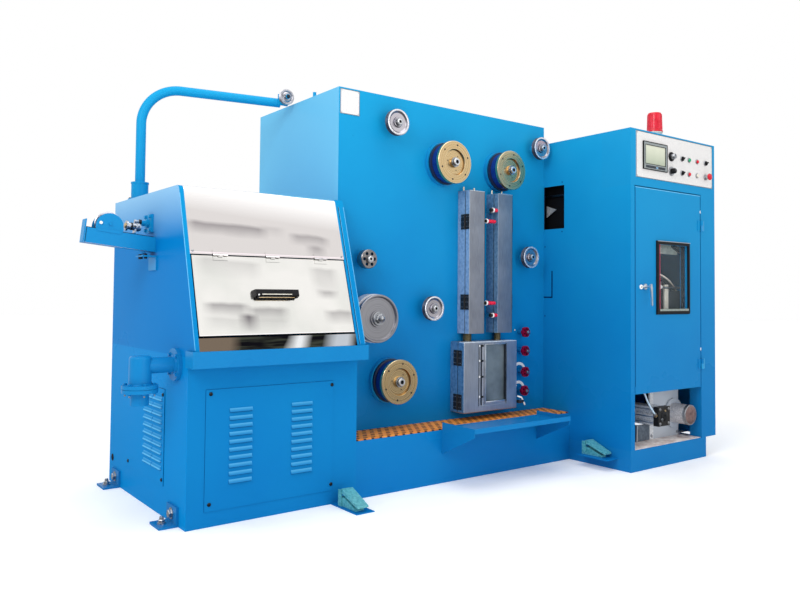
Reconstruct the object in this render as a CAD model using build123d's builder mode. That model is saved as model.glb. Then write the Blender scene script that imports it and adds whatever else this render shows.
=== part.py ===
from build123d import *
import math
import os

# Wire drawing machine with upright annealer and take-up cabinet.
# Millimetres. X runs along the front to the right, Y goes back, Z is up.
# The origin is on the floor, under the middle of the drawing cabinet.

# Overall layout
floor_z = 0
sheet = 3
draw_left = -400
draw_width = 815
front_y = -500
draw_depth = 1060
centre_width = 1495
centre_depth = 1095
take_up_width = 835
take_up_front = -940
take_up_height = 1900

draw_right = draw_left + draw_width
draw_back = front_y + draw_depth
centre_back = front_y + centre_depth
take_up_left = draw_right + centre_width
take_up_right = take_up_left + take_up_width
take_up_depth = centre_back - take_up_front

# Drawing cabinet
base_height = 700
housing_height = 1425
left_cheek_wall = 20
right_cheek_wall = 45
roof_wall = 20
slope_top_setback = 150
slope_low_reach = 70
slope_low_z = 728
gear_housing_y = -60
cheek_corner_r = 30
cover_seam_z = 1125
cover_low_z = 789
cover_gap = 6
cover_side_gap = 5
cover_fold = 16

slope_top_y = front_y + slope_top_setback
slope_low_y = front_y - slope_low_reach
slope_angle = math.atan2(slope_top_y - slope_low_y, housing_height - slope_low_z)
chamber_left = draw_left + left_cheek_wall
chamber_right = draw_right - right_cheek_wall

# Centre section
ledge_height = 270
box_gap = 10
box_setback = 210
box_above_channels = 460
mat_thickness = 6
tray_width = 697
tray_depth = 250
tray_floor_z = 284
tray_lip = 25
tray_offset = 523

box_left = draw_right + box_gap
box_front = front_y + box_setback

# Annealer and cooling tank
channel_width = 114
channel_pitch = 216
channel_offset = 799
channel_low = 750
channel_height = 795
channel_depth = 60
cover_depth = 32
cover_clearance = 5
tank_offset = 751
tank_width = 404
tank_low = 318
tank_height = 388
tank_front_depth = 48
tank_wall = 4
hinge_r = 5
hinge_pin_r = 2.5
pin_clearance = 0.4

channel_high = channel_low + channel_height
box_height = channel_high + box_above_channels

# Take-up cabinet
plinth_height = 118
plinth_width = 730
wall = 35
post_width = 151
post_depth = 80
back_sheet = 20
roof_sheet = 20
door_gap = 5
door_thickness = 32
opening_low = 418
opening_high = 1582
head_depth = 200
window_width = 287
window_height = 383
window_offset = 210
window_low = 880
frame_border = 19

opening_left = take_up_left + wall
opening_right = take_up_right - post_width
door_left = opening_left + door_gap
door_right = opening_right - door_gap
door_low = opening_low + door_gap
door_high = opening_high - door_gap
post_face = take_up_front + post_depth

# Wheels
shaft_r = 12
shaft_clearance = 0.5
wheel_side_gap = 5


def slab(x0, x1, y0, y1, z0, z1, mode=Mode.ADD):
    """A box between two values on each axis."""
    with Locations((x0, y0, z0)):
        Box(x1 - x0, y1 - y0, z1 - z0, align=(Align.MIN, Align.MIN, Align.MIN), mode=mode)


def rod_y(x, z, y0, y1, radius, mode=Mode.ADD):
    """A cylinder along Y."""
    with Locations(Location((x, (y0 + y1) / 2, z), (90, 0, 0))):
        Cylinder(radius, y1 - y0, mode=mode)


def rod_x(y, z, x0, x1, radius, mode=Mode.ADD):
    """A cylinder along X."""
    with Locations(Location(((x0 + x1) / 2, y, z), (0, 90, 0))):
        Cylinder(radius, x1 - x0, mode=mode)


def rod_z(x, y, z0, z1, radius, mode=Mode.ADD):
    """A cylinder along Z."""
    with Locations((x, y, (z0 + z1) / 2)):
        Cylinder(radius, z1 - z0, mode=mode)


def turned(points, x, y, z, mode=Mode.ADD):
    """A body turned about the Y direction; the points are (radius, distance along Y)."""
    with BuildSketch(Plane(origin=(x, y, z))) as profile:
        with BuildLine():
            Polyline(*points, close=True)
        make_face()
    revolve(profile.sketch, Axis((x, y, z), (0, 1, 0)), mode=mode)


def side_plate(x0, x1, points, mode=Mode.ADD):
    """A plate that lies across X; the points are (Y, Z)."""
    with BuildSketch(Plane(origin=(x0, 0, 0), x_dir=(0, 1, 0), z_dir=(1, 0, 0))) as profile:
        with BuildLine():
            Polyline(*points, close=True)
        make_face()
    extrude(profile.sketch, amount=x1 - x0, mode=mode)


def front_plate(y0, y1, points, mode=Mode.ADD):
    """A plate that lies across Y; the points are (X, Z)."""
    with BuildSketch(Plane(origin=(0, y1, 0), x_dir=(1, 0, 0), z_dir=(0, -1, 0))) as profile:
        with BuildLine():
            Polyline(*points, close=True)
        make_face()
    extrude(profile.sketch, amount=y1 - y0, mode=mode)


def front_disc(x, z, y_face):
    """A sketch plane on a face that looks to the front."""
    return Plane(origin=(x, y_face, z), x_dir=(1, 0, 0), z_dir=(0, -1, 0))


def slope_y(z, inward=0):
    """Y of the sloped chamber front at a height, moved inward by a thickness."""
    return slope_low_y + (z - slope_low_z) * math.tan(slope_angle) + inward / math.cos(slope_angle)


def slope_sheet(x0, x1, z0, z1, outer, inner):
    """A sheet that lies on the slope, between two depths measured inward."""
    side_plate(x0, x1, [
        (slope_y(z0, outer), z0), (slope_y(z1, outer), z1),
        (slope_y(z1, inner), z1), (slope_y(z0, inner), z0)])


def cheek_profile():
    """Outline of a cheek above the base, with its rounded upper front corner."""
    with BuildSketch(Plane(origin=(0, 0, 0), x_dir=(0, 1, 0), z_dir=(1, 0, 0))) as profile:
        with BuildLine():
            Polyline((draw_back, base_height), (draw_back, housing_height), (slope_top_y, housing_height),
                     (slope_low_y, slope_low_z), (slope_low_y, base_height), close=True)
        make_face()
        fillet(profile.vertices().sort_by(Axis.Y)[-2:].sort_by(Axis.X)[0], cheek_corner_r)
    return profile.sketch


# Drawing cabinet: a closed base with the gear housing behind the chamber
roof_low = housing_height - roof_wall
with BuildPart() as drawing_base:
    slab(draw_left, draw_right, front_y, draw_back, floor_z, base_height)
    slab(chamber_left, chamber_right, gear_housing_y, draw_back, base_height, roof_low)

with BuildPart() as housing_cheeks:
    extrude(cheek_profile().moved(Location((draw_left, 0, 0))), amount=left_cheek_wall)
    extrude(cheek_profile().moved(Location((chamber_right, 0, 0))), amount=right_cheek_wall)

# The roof behind the steel front
nose_wall = 8
nose_low = housing_height - cheek_corner_r
nose_back_y = slope_top_y + cheek_corner_r
with BuildPart() as housing_top:
    slab(chamber_left, chamber_right, nose_back_y, draw_back, roof_low, housing_height)

# Stainless covers on the slope: a fixed sheet that bends over into the roof, a hinged cover below it,
# and a fixed strip at the foot
sheet_left = chamber_left
sheet_right = chamber_right
hinge_places = (-250, -5, 240)
hinge_length = 66
knuckle = hinge_length / 3
cover_hinge_y = slope_y(cover_seam_z, -4)
with BuildPart() as fixed_covers:
    extrude(cheek_profile().moved(Location((chamber_left, 0, 0))), amount=chamber_right - chamber_left)
    slab(chamber_left, chamber_right, slope_low_y, draw_back, base_height, nose_low, mode=Mode.SUBTRACT)
    slab(chamber_left, chamber_right, nose_back_y, draw_back, nose_low, housing_height, mode=Mode.SUBTRACT)
    side_plate(chamber_left, chamber_right, [
        (slope_y(nose_low, nose_wall), nose_low), (slope_y(roof_low, nose_wall), roof_low),
        (draw_back, roof_low), (draw_back, nose_low)], mode=Mode.SUBTRACT)
    slope_sheet(sheet_left, sheet_right, cover_seam_z + cover_gap / 2, nose_low, 0, sheet)
    slope_sheet(sheet_left, sheet_right, slope_low_z, cover_low_z - cover_gap, 0, sheet)
    for x in hinge_places:
        slope_sheet(x - hinge_length / 2, x + hinge_length / 2, cover_seam_z + 5, cover_seam_z + 22, -2, 0)
        rod_x(cover_hinge_y, cover_seam_z, x - hinge_length / 2, x + hinge_length / 2, 1.6)
        for start in (x - hinge_length / 2, x + hinge_length / 2 - knuckle):
            rod_x(cover_hinge_y, cover_seam_z, start, start + knuckle, 4)
            slope_sheet(start, start + knuckle, cover_seam_z, cover_seam_z + 6, -6, -2)

with BuildPart() as lower_cover:
    cover_x0 = sheet_left + cover_side_gap
    cover_x1 = sheet_right - cover_side_gap
    slope_sheet(cover_x0, cover_x1, cover_low_z, cover_seam_z - cover_gap / 2, 0, sheet)
    slope_sheet(cover_x0, cover_x0 + sheet, cover_low_z, cover_seam_z - 20, sheet, cover_fold)
    slope_sheet(cover_x1 - sheet, cover_x1, cover_low_z, cover_seam_z - 20, sheet, cover_fold)
    slope_sheet(cover_x0 + sheet, cover_x1 - sheet, cover_low_z, cover_low_z + sheet, sheet, cover_fold)
    for x in hinge_places:
        slope_sheet(x - hinge_length / 2, x + hinge_length / 2, cover_seam_z - 22, cover_seam_z - 7, -2, 0)
        middle = x - hinge_length / 2 + knuckle + 0.5
        slope_sheet(middle, middle + knuckle - 1, cover_seam_z - 7, cover_seam_z - 2, -6, 0)
        rod_x(cover_hinge_y, cover_seam_z, middle, middle + knuckle - 1, 4)
        rod_x(cover_hinge_y, cover_seam_z, middle - 1, middle + knuckle, 1.6 + pin_clearance,
              mode=Mode.SUBTRACT)

handle_x = -15
handle_z = 960
handle_length = 222
handle_bow = 30
handle_plane = Plane(origin=(handle_x, slope_y(handle_z), handle_z), x_dir=(1, 0, 0),
                     z_dir=(0, -math.cos(slope_angle), math.sin(slope_angle)))
with BuildPart() as cover_handle:
    with BuildSketch(handle_plane.rotated((90, 0, 0))) as grip_side:
        with BuildLine():
            Polyline((-handle_length / 2, 0), (handle_length / 2, 0), (handle_length / 2 - 8, handle_bow),
                     (-handle_length / 2 + 8, handle_bow), close=True)
        make_face()
        with BuildLine():
            Polyline((-handle_length / 2 + 20, 0), (handle_length / 2 - 20, 0),
                     (handle_length / 2 - 26, handle_bow - 11), (-handle_length / 2 + 26, handle_bow - 11),
                     close=True)
        make_face(mode=Mode.SUBTRACT)
    extrude(amount=15, both=True)
    fillet(cover_handle.faces().sort_by(Axis(handle_plane.origin, handle_plane.z_dir))[-1].edges(), 4)

lip_reach = 12
lip_front = slope_low_y - 12
lip_low = 660
with BuildPart() as splash_lip:
    side_plate(draw_left - lip_reach, draw_right + box_gap, [
        (front_y, lip_low), (lip_front, lip_low), (lip_front, slope_low_z), (lip_front + 4, slope_low_z),
        (lip_front + 4, lip_low + 6), (front_y, lip_low + 6)])
    slab(draw_left - lip_reach, draw_left - lip_reach + 4, lip_front + 4, front_y, lip_low + 6, slope_low_z)

# Access panels, each with two columns of pressed louvres
louvre_pitch = 33
louvre_height = 16
louvre_reach = 8
louvre_count = 10
front_panel_left = draw_left + 77
front_panel_width = 608
front_panel_low = 64
front_panel_height = 500
front_louvre_width = 103
front_louvres = (104, 395)
side_panel_front = front_y + 262
side_panel_width = 508
side_panel_low = 130
side_panel_height = 415
side_louvre_width = 112
side_louvres = (24, 144)


def louvre_row(low, height):
    """Heights of the louvres above a lower edge."""
    return [low + height + row * louvre_pitch for row in range(louvre_count)]


with BuildPart() as access_panels:
    slab(front_panel_left, front_panel_left + front_panel_width, front_y - sheet, front_y,
         front_panel_low, front_panel_low + front_panel_height)
    for offset in front_louvres:
        x = front_panel_left + offset
        for z in louvre_row(front_panel_low, 104):
            side_plate(x, x + front_louvre_width, [
                (front_y - sheet, z), (front_y - sheet - louvre_reach, z),
                (front_y - sheet, z + louvre_height)])
    slab(draw_left - sheet, draw_left, side_panel_front, side_panel_front + side_panel_width,
         side_panel_low, side_panel_low + side_panel_height)
    for offset in side_louvres:
        y = side_panel_front + offset
        for z in louvre_row(side_panel_low, 66):
            front_plate(y, y + side_louvre_width, [
                (draw_left - sheet, z), (draw_left - sheet - louvre_reach, z),
                (draw_left - sheet, z + louvre_height)])

# Inside the chamber: two stepped drawing cones and the die holder between them
chamber_middle = (chamber_left + chamber_right) / 2
cone_spread = (chamber_right - chamber_left) / 4
cone_places = (chamber_middle - cone_spread, chamber_middle + cone_spread)
cone_z = 1000
cone_r = 120
cone_steps = 6
cone_step_r = 12
cone_step_width = 38
die_half = 20
with BuildPart() as drawing_cones:
    points = [(0, 0), (cone_r + 8, 0), (cone_r + 8, -12)]
    for step in range(cone_steps):
        radius = cone_r - step * cone_step_r
        points += [(radius, -12 - step * cone_step_width), (radius, -12 - (step + 1) * cone_step_width + 6)]
    points += [(30, -12 - cone_steps * cone_step_width), (0, -12 - cone_steps * cone_step_width)]
    for x in cone_places:
        turned(points, x, gear_housing_y, cone_z)
    slab(chamber_middle - die_half, chamber_middle + die_half, gear_housing_y - 230, gear_housing_y,
         cone_z - 45, cone_z + 25)
    for y in (-50, -90, -130, -170, -210):
        rod_x(gear_housing_y + y, cone_z + 36, chamber_middle - die_half, chamber_middle + die_half, 16)

# Angle feet bolted to the sides and to the floor
foot_width = 115
foot_setback = 75
foot_leg = 80
foot_wall = 10


def foot_bracket(x_face, direction, y0):
    """An angle bracket on a side face; direction is -1 for a left face and 1 for a right face."""
    upright = sorted((x_face, x_face + direction * foot_wall))
    flat = sorted((x_face, x_face + direction * foot_leg))
    slab(upright[0], upright[1], y0, y0 + foot_width, floor_z, foot_leg)
    slab(flat[0], flat[1], y0, y0 + foot_width, floor_z, foot_wall)
    rod_z(x_face + direction * 50, y0 + foot_width / 2, foot_wall, foot_wall + 6, 16)
    rod_z(x_face + direction * 50, y0 + foot_width / 2, foot_wall, foot_wall + 30, 8)
    bolt = sorted((x_face + direction * foot_wall, x_face + direction * (foot_wall + 12)))
    rod_x(y0 + foot_width / 2, 46, bolt[0], bolt[1], 15)


with BuildPart() as foot_brackets:
    for y in (front_y + foot_setback, draw_back - foot_setback - foot_width):
        foot_bracket(draw_left, -1, y)
    for y in (take_up_front + foot_setback, centre_back - foot_setback - foot_width):
        foot_bracket(take_up_left + plinth_width, 1, y)

# Centre section
with BuildPart() as centre_base:
    slab(draw_right, take_up_left, front_y, centre_back, floor_z, ledge_height)

with BuildPart() as centre_box:
    slab(box_left, take_up_left, box_front, centre_back, ledge_height, box_height)
    rod_z(box_left + 14, -20, box_height, box_height + 26, 9)

with BuildPart() as ledge_mat:
    slab(draw_right + 8, take_up_left - 6, front_y + 8, box_front - 2,
         ledge_height, ledge_height + mat_thickness)

# Hanging tray in front of the ledge, on two ribs
tray_left = draw_right + tray_offset
tray_right = tray_left + tray_width
tray_front = front_y - tray_depth
rib = 4
rib_foot = 149
with BuildPart() as tray:
    slab(tray_left, tray_right, tray_front, front_y, tray_floor_z, tray_floor_z + sheet)
    slab(tray_left, tray_right, tray_front, tray_front + sheet, tray_floor_z, tray_floor_z + tray_lip)
    slab(tray_left, tray_left + sheet, tray_front, front_y, tray_floor_z, tray_floor_z + tray_lip)
    slab(tray_right - sheet, tray_right, tray_front, front_y, tray_floor_z, tray_floor_z + tray_lip)
    slab(tray_left, tray_right, front_y - sheet, front_y, tray_floor_z - 60, tray_floor_z)
    for x in (tray_left, tray_right - rib):
        side_plate(x, x + rib, [
            (front_y, rib_foot), (front_y, tray_floor_z), (tray_front + 4, tray_floor_z),
            (tray_front + 4, tray_floor_z - 20)])

# Bare nameplate and the two arc scales behind the lower handwheels
valve_x = box_left + 1274
handwheel_places = (
    (valve_x + 2, tank_low + 428), (valve_x, tank_low + 317),
    (valve_x, tank_low + 193), (valve_x - 6, tank_low + 83))
plate_thickness = 2
with BuildPart() as face_plates:
    slab(box_left + 8, box_left + 122, box_front - plate_thickness, box_front, box_height - 134, box_height - 8)
    for x, z in handwheel_places[2:]:
        with BuildSketch(front_disc(x, z, box_front)):
            Circle(54)
            Circle(38, mode=Mode.SUBTRACT)
            with Locations((0, -40)):
                Rectangle(120, 80, mode=Mode.SUBTRACT)
        extrude(amount=plate_thickness)

# Annealer: two upright channels with hinged covers
channel_left = draw_right + channel_offset
channel_front = box_front - channel_depth
cover_back = channel_front - cover_clearance
cover_front = cover_back - cover_depth
channel_edges = [(channel_left + n * channel_pitch, channel_left + n * channel_pitch + channel_width)
                 for n in range(2)]
hinge_y = channel_front - cover_clearance / 2
side_hinge_length = 84
channel_hinge_lows = (882, 1328)
leaf = 3
leaf_width = 28


def open_box(x0, x1, y0, y1, z0, z1, skin, open_side):
    """A box of thin walls, open to the front (-1) or to the back (1)."""
    slab(x0, x1, y0, y1, z0, z1)
    if open_side < 0:
        slab(x0 + skin, x1 - skin, y0, y1 - skin, z0 + skin, z1 - skin, mode=Mode.SUBTRACT)
    else:
        slab(x0 + skin, x1 - skin, y0 + skin, y1, z0 + skin, z1 - skin, mode=Mode.SUBTRACT)


def fixed_hinge(x_face, side, low, length):
    """The fixed leaf, lower knuckle and pin of a butt hinge on a side face; side is -1 or 1."""
    axis_x = x_face + side * hinge_r
    leaf_x = sorted((x_face, x_face + side * leaf))
    slab(leaf_x[0], leaf_x[1], hinge_y + hinge_r + 1, hinge_y + hinge_r + 1 + leaf_width, low, low + length)
    slab(leaf_x[0], leaf_x[1], hinge_y, hinge_y + hinge_r + 1, low, low + length / 2 - 0.5)
    rod_z(axis_x, hinge_y, low, low + length / 2 - 0.5, hinge_r)
    rod_z(axis_x, hinge_y, low, low + length, hinge_pin_r)


def moving_hinge(x_face, side, low, length):
    """The moving leaf and upper knuckle of a butt hinge on a side face."""
    axis_x = x_face + side * hinge_r
    leaf_x = sorted((x_face, x_face + side * leaf))
    half = low + length / 2 + 0.5
    slab(leaf_x[0], leaf_x[1], hinge_y - hinge_r - 1 - leaf_width, hinge_y - hinge_r - 1, low, low + length)
    slab(leaf_x[0], leaf_x[1], hinge_y - hinge_r - 1, hinge_y, half, low + length)
    rod_z(axis_x, hinge_y, half, low + length, hinge_r)
    rod_z(axis_x, hinge_y, half - 1, low + length + 1, hinge_pin_r + pin_clearance, mode=Mode.SUBTRACT)


with BuildPart() as anneal_channels:
    for left, right in channel_edges:
        open_box(left, right, channel_front, box_front, channel_low, channel_high, sheet, -1)
        for x in (left + 14, right - 22):
            rod_z(x, (channel_front + box_front) / 2, channel_high, channel_high + 24, 5)

with BuildPart() as anneal_cover_left:
    left, right = channel_edges[0]
    open_box(left, right, cover_front, cover_back, channel_low, channel_high, sheet, 1)
    for low in channel_hinge_lows:
        moving_hinge(left, -1, low, side_hinge_length)

with BuildPart() as anneal_cover_right:
    left, right = channel_edges[1]
    open_box(left, right, cover_front, cover_back, channel_low, channel_high, sheet, 1)
    for low in channel_hinge_lows:
        moving_hinge(right, 1, low, side_hinge_length)

# Cooling tank below the channels, with a hinged front
tank_left = draw_right + tank_offset
tank_right = tank_left + tank_width
tank_high = tank_low + tank_height
tank_front = cover_back - tank_front_depth
tank_hinge_lows = (336, 576)
stub_places = ((channel_edges[0][0] + 47, 24), (channel_edges[1][0] + 61, 20))
tank_corner_r = 8
with BuildPart() as cooling_tank:
    slab(tank_left, tank_right, channel_front, box_front, tank_low, tank_high)
    fillet(cooling_tank.edges().filter_by(Axis.Y), tank_corner_r)
    slab(tank_left + tank_wall, tank_right - tank_wall, channel_front, box_front - tank_wall,
         tank_low + tank_wall, tank_high - tank_wall, mode=Mode.SUBTRACT)
    for x, radius in stub_places:
        rod_z(x, (channel_front + box_front) / 2, tank_high, channel_low, radius)

# The tank's front has a recess with two guide rods beside a sunk pane
recess_left = tank_left + 106
recess_width = 216
recess_low = tank_low + 32
recess_height = 342
recess_depth = 20
rod_strip = 57
tank_edge_r = 5
with BuildPart() as tank_door:
    slab(tank_left, tank_right, tank_front, cover_back, tank_low, tank_high)
    fillet(tank_door.edges().filter_by(Axis.Y), tank_corner_r)
    fillet(tank_door.faces().sort_by(Axis.Y)[0].edges(), tank_edge_r)
    slab(tank_left + tank_wall, tank_right - tank_wall, tank_front + tank_wall, cover_back,
         tank_low + tank_wall, tank_high - tank_wall, mode=Mode.SUBTRACT)
    slab(recess_left - tank_wall, recess_left + recess_width + tank_wall, tank_front + tank_wall,
         tank_front + recess_depth + tank_wall, recess_low - tank_wall, recess_low + recess_height + tank_wall)
    slab(recess_left, recess_left + recess_width, tank_front, tank_front + recess_depth,
         recess_low, recess_low + recess_height, mode=Mode.SUBTRACT)
    slab(recess_left, recess_left + rod_strip, tank_front + recess_depth / 2, tank_front + recess_depth,
         recess_low, recess_low + recess_height)
    slab(recess_left + rod_strip, recess_left + recess_width, tank_front + 6, tank_front + recess_depth,
         recess_low, recess_low + 14)
    for x in (recess_left + rod_strip / 3, recess_left + rod_strip * 2 / 3):
        rod_z(x, tank_front + recess_depth / 2, recess_low, recess_low + recess_height, 5)
    for low in tank_hinge_lows:
        moving_hinge(tank_left, -1, low, side_hinge_length)

# Latches with red grips in the gap between the channels, and the tank's latch on its right side
latch_clearance = 9
grip_y = cover_front
grip_r = 10
latch_places = ((channel_edges[0][1], 1, 69, (919, 1380)), (channel_edges[1][0], -1, 50, (850, 1445)))
with BuildPart() as cover_latches:
    for x_face, side, length, heights in latch_places:
        for z in heights:
            block = sorted((x_face, x_face + side * 24))
            grip = sorted((x_face + side * latch_clearance, x_face + side * (latch_clearance + length)))
            slab(block[0], block[1], channel_front + 8, channel_front + 34, z - 13, z + 13)
            rod_y(x_face + side * (latch_clearance + 6), z, grip_y, channel_front + 8, 5)
            rod_x(grip_y, z, grip[0], grip[1], grip_r)
    slab(tank_right, tank_right + 24, channel_front + 8, channel_front + 34, tank_low + 21, tank_low + 49)
    rod_y(tank_right + latch_clearance + 6, tank_low + 35, tank_front, channel_front + 8, 5)
    rod_x(tank_front, tank_low + 35, tank_right + latch_clearance, tank_right + 47, grip_r)

# Wheels on the front of the centre box: x, z and outside radius
pulley_width = 28
pulley_face = box_front - 80
pulley_places = (
    (box_left + 314, box_height - 149, 68), (take_up_left - 97, box_height - 152, 67),
    (box_left + 1297, channel_low + 440, 64), (box_left + 562, channel_low + 140, 65))
contact_face = box_front - 114
contact_depth = 85
contact_places = (
    (box_left + 669, channel_high + 138, 116), (box_left + 1096, channel_high + 139, 113),
    (box_left + 313, tank_low + 201, 113))
roller_place = (box_left + 141, channel_low + 390, 48)
roller_width = 44
capstan_place = (box_left + 147, channel_low + 94, 119)
capstan_face = box_front - 160
capstan_depth = 90


def pulley(x, z, radius, face_y, width=pulley_width, shaft=shaft_r):
    """A grooved guide pulley, dished on both sides round its hub."""
    bore = shaft + shaft_clearance
    middle = width / 2
    dish = width / 3
    turned([
        (bore, 0), (bore + 11, 0), (bore + 13, dish), (radius - 15, dish), (radius - 10, 1), (radius, 1),
        (radius - 8, middle - 3), (radius - 8, middle + 3), (radius, width - 1), (radius - 10, width - 1),
        (radius - 15, width - dish), (bore + 13, width - dish), (bore + 11, width), (bore, width)],
        x, face_y, z)


def contact_wheel(x, z, radius):
    """A wheel with a front flange dished round its hub, a wide rim and a back flange."""
    bore = shaft_r + shaft_clearance
    dish = radius * 0.62
    turned([
        (bore, -4), (bore + 14, -4), (bore + 16, 12), (dish - 6, 12), (dish, 0), (radius - 2, 0), (radius, 2),
        (radius, 18), (radius - 8, 21), (radius - 8, contact_depth - 15), (radius - 1, contact_depth - 13),
        (radius - 1, contact_depth),
        (bore, contact_depth)], x, contact_face, z)


with BuildPart() as guide_pulley_1:
    pulley(*pulley_places[0], pulley_face)
with BuildPart() as guide_pulley_2:
    pulley(*pulley_places[1], pulley_face)
with BuildPart() as guide_pulley_3:
    pulley(*pulley_places[2], pulley_face)
with BuildPart() as guide_pulley_4:
    pulley(*pulley_places[3], pulley_face)
with BuildPart() as contact_wheel_1:
    contact_wheel(*contact_places[0])
with BuildPart() as contact_wheel_2:
    contact_wheel(*contact_places[1])
with BuildPart() as contact_wheel_3:
    contact_wheel(*contact_places[2])

roller_x, roller_z, roller_r = roller_place
with BuildPart() as drilled_roller:
    bore = shaft_r + shaft_clearance
    turned([(bore, 0), (roller_r - 3, 0), (roller_r, 3), (roller_r, roller_width - 3),
            (roller_r - 3, roller_width), (bore, roller_width)], roller_x, pulley_face, roller_z)
    with BuildSketch(front_disc(roller_x, roller_z, pulley_face)):
        with PolarLocations(30, 6):
            Circle(8.5)
    extrude(amount=-roller_width, mode=Mode.SUBTRACT)

capstan_x, capstan_z, capstan_r = capstan_place
with BuildPart() as capstan:
    bore = shaft_r + shaft_clearance
    turned([
        (bore, 4), (bore + 30, 4), (bore + 30, 12), (capstan_r - 16, 12), (capstan_r - 10, 0),
        (capstan_r - 2, 0), (capstan_r, 2), (capstan_r, 12), (capstan_r - 8, 16), (capstan_r - 8, 34),
        (capstan_r + 2, 38), (capstan_r + 2, capstan_depth), (bore, capstan_depth)],
        capstan_x, capstan_face, capstan_z)

# Shafts, bosses and retaining washers that carry the wheels, and the stems of the handwheels
stem_r = 5
boss_r = 26
capstan_boss_r = 60
nose_length = 12
washer_gap = 1.5
handwheel_face = box_front - 60
handwheel_hub = 24
with BuildPart() as wheel_mounts:
    stations = [(x, z, pulley_face, pulley_width, boss_r) for x, z, radius in pulley_places]
    stations += [(x, z, contact_face - 4, contact_depth + 4, radius + 3) for x, z, radius in contact_places]
    stations += [(roller_x, roller_z, pulley_face, roller_width, boss_r)]
    stations += [(capstan_x, capstan_z, capstan_face + 4, capstan_depth - 4, capstan_boss_r)]
    for x, z, near, width, flange_r in stations:
        rod_y(x, z, near + width + wheel_side_gap, box_front, flange_r)
        rod_y(x, z, near - nose_length, box_front, shaft_r)
        rod_y(x, z, near - nose_length, near - washer_gap, shaft_r + 6)
    for x, z in handwheel_places:
        rod_y(x, z, handwheel_face + handwheel_hub + wheel_side_gap, box_front, 14)
        rod_y(x, z, handwheel_face - nose_length, box_front, stem_r)
        rod_y(x, z, handwheel_face - nose_length, handwheel_face - 6 - washer_gap, stem_r + 4)


def handwheel(x, z):
    """A small moulded handwheel with a lobed rim."""
    bore = stem_r + shaft_clearance
    turned([(bore, -6), (12, -6), (14, 2), (22, 4), (24, 0), (30, 0), (30, 16), (24, 16), (22, 12), (14, 12),
            (14, handwheel_hub), (bore, handwheel_hub)], x, handwheel_face, z)
    with BuildSketch(front_disc(x, z, handwheel_face)) as lobes:
        with PolarLocations(32, 6, start_angle=30):
            Circle(6)
    extrude(lobes.sketch, amount=-20, mode=Mode.SUBTRACT)


with BuildPart() as handwheel_1:
    handwheel(*handwheel_places[0])
with BuildPart() as handwheel_2:
    handwheel(*handwheel_places[1])
with BuildPart() as handwheel_3:
    handwheel(*handwheel_places[2])
with BuildPart() as handwheel_4:
    handwheel(*handwheel_places[3])

# Take-up cabinet: a hollow cabinet of folded walls on a plinth
inner_top = take_up_height - roof_sheet
head_back = take_up_front + head_depth
wire_window_front = box_front - 167
wire_window_low = 1369
wire_window_height = 262
window_rim = 40
with BuildPart() as spooler_plinth:
    slab(take_up_left, take_up_left + plinth_width, take_up_front, centre_back, floor_z, plinth_height)

with BuildPart() as spooler_left_wall:
    side_plate(take_up_left, take_up_left + wall, [
        (take_up_front, plinth_height), (centre_back, plinth_height), (centre_back, inner_top),
        (head_back, inner_top), (head_back, opening_high), (take_up_front, opening_high)])
    slab(take_up_left, take_up_left + wall, wire_window_front, box_front - 2,
         wire_window_low, wire_window_low + wire_window_height, mode=Mode.SUBTRACT)
    slab(take_up_left + sheet, take_up_left + wall, wire_window_front - window_rim, box_front + window_rim,
         wire_window_low - window_rim, wire_window_low + wire_window_height + window_rim, mode=Mode.SUBTRACT)

with BuildPart() as spooler_right_wall:
    side_plate(take_up_right - wall, take_up_right, [
        (take_up_front, plinth_height), (centre_back, plinth_height), (centre_back, inner_top),
        (head_back, inner_top), (head_back, opening_high), (take_up_front, opening_high)])
    slab(opening_right, take_up_right - wall, take_up_front, post_face, plinth_height, opening_high)

with BuildPart() as spooler_back_wall:
    slab(take_up_left + wall, take_up_right - wall, centre_back - back_sheet, centre_back,
         plinth_height, inner_top)

with BuildPart() as spooler_head:
    slab(take_up_left, take_up_right, take_up_front, head_back, opening_high, inner_top)
    slab(take_up_left, take_up_right, take_up_front, centre_back, inner_top, take_up_height)

# Control panel on the head
panel_left = take_up_left + 48
panel_right = take_up_right - 28
panel_low = 1630
panel_high = 1891
panel_face = take_up_front - plate_thickness
with BuildPart() as control_panel:
    slab(panel_left, panel_right, panel_face, take_up_front, panel_low, panel_high)

screen_left = panel_left + 58
screen_width = 227
screen_low = 1680
screen_height = 159
knob_columns = (330, 437, 510, 594, 684)
knob_rows = (1779, 1694)
with BuildPart() as panel_controls:
    slab(screen_left, screen_left + screen_width, panel_face - 8, panel_face,
         screen_low, screen_low + screen_height)
    slab(screen_left + 18, screen_left + screen_width - 18, panel_face - 8, panel_face - 5,
         screen_low + 22, screen_low + screen_height - 16, mode=Mode.SUBTRACT)
    for column, offset in enumerate(knob_columns):
        for row, z in enumerate(knob_rows):
            x = panel_left + offset
            if column == 0:
                rod_y(x, z, panel_face - 8, panel_face, 27)
                rod_y(x, z, panel_face - 30, panel_face - 8, 15)
            elif column == 4 and row == 1:
                rod_y(x, z, panel_face - 26, panel_face, 13)
                rod_y(x, z, panel_face - 40, panel_face - 26, 20)
            elif column in (1, 4):
                rod_y(x, z, panel_face - 6, panel_face, 16)
                rod_y(x, z, panel_face - 24, panel_face - 6, 12)
            else:
                rod_y(x, z, panel_face - 6, panel_face, 15)
                rod_y(x, z, panel_face - 12, panel_face - 6, 10)

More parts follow.
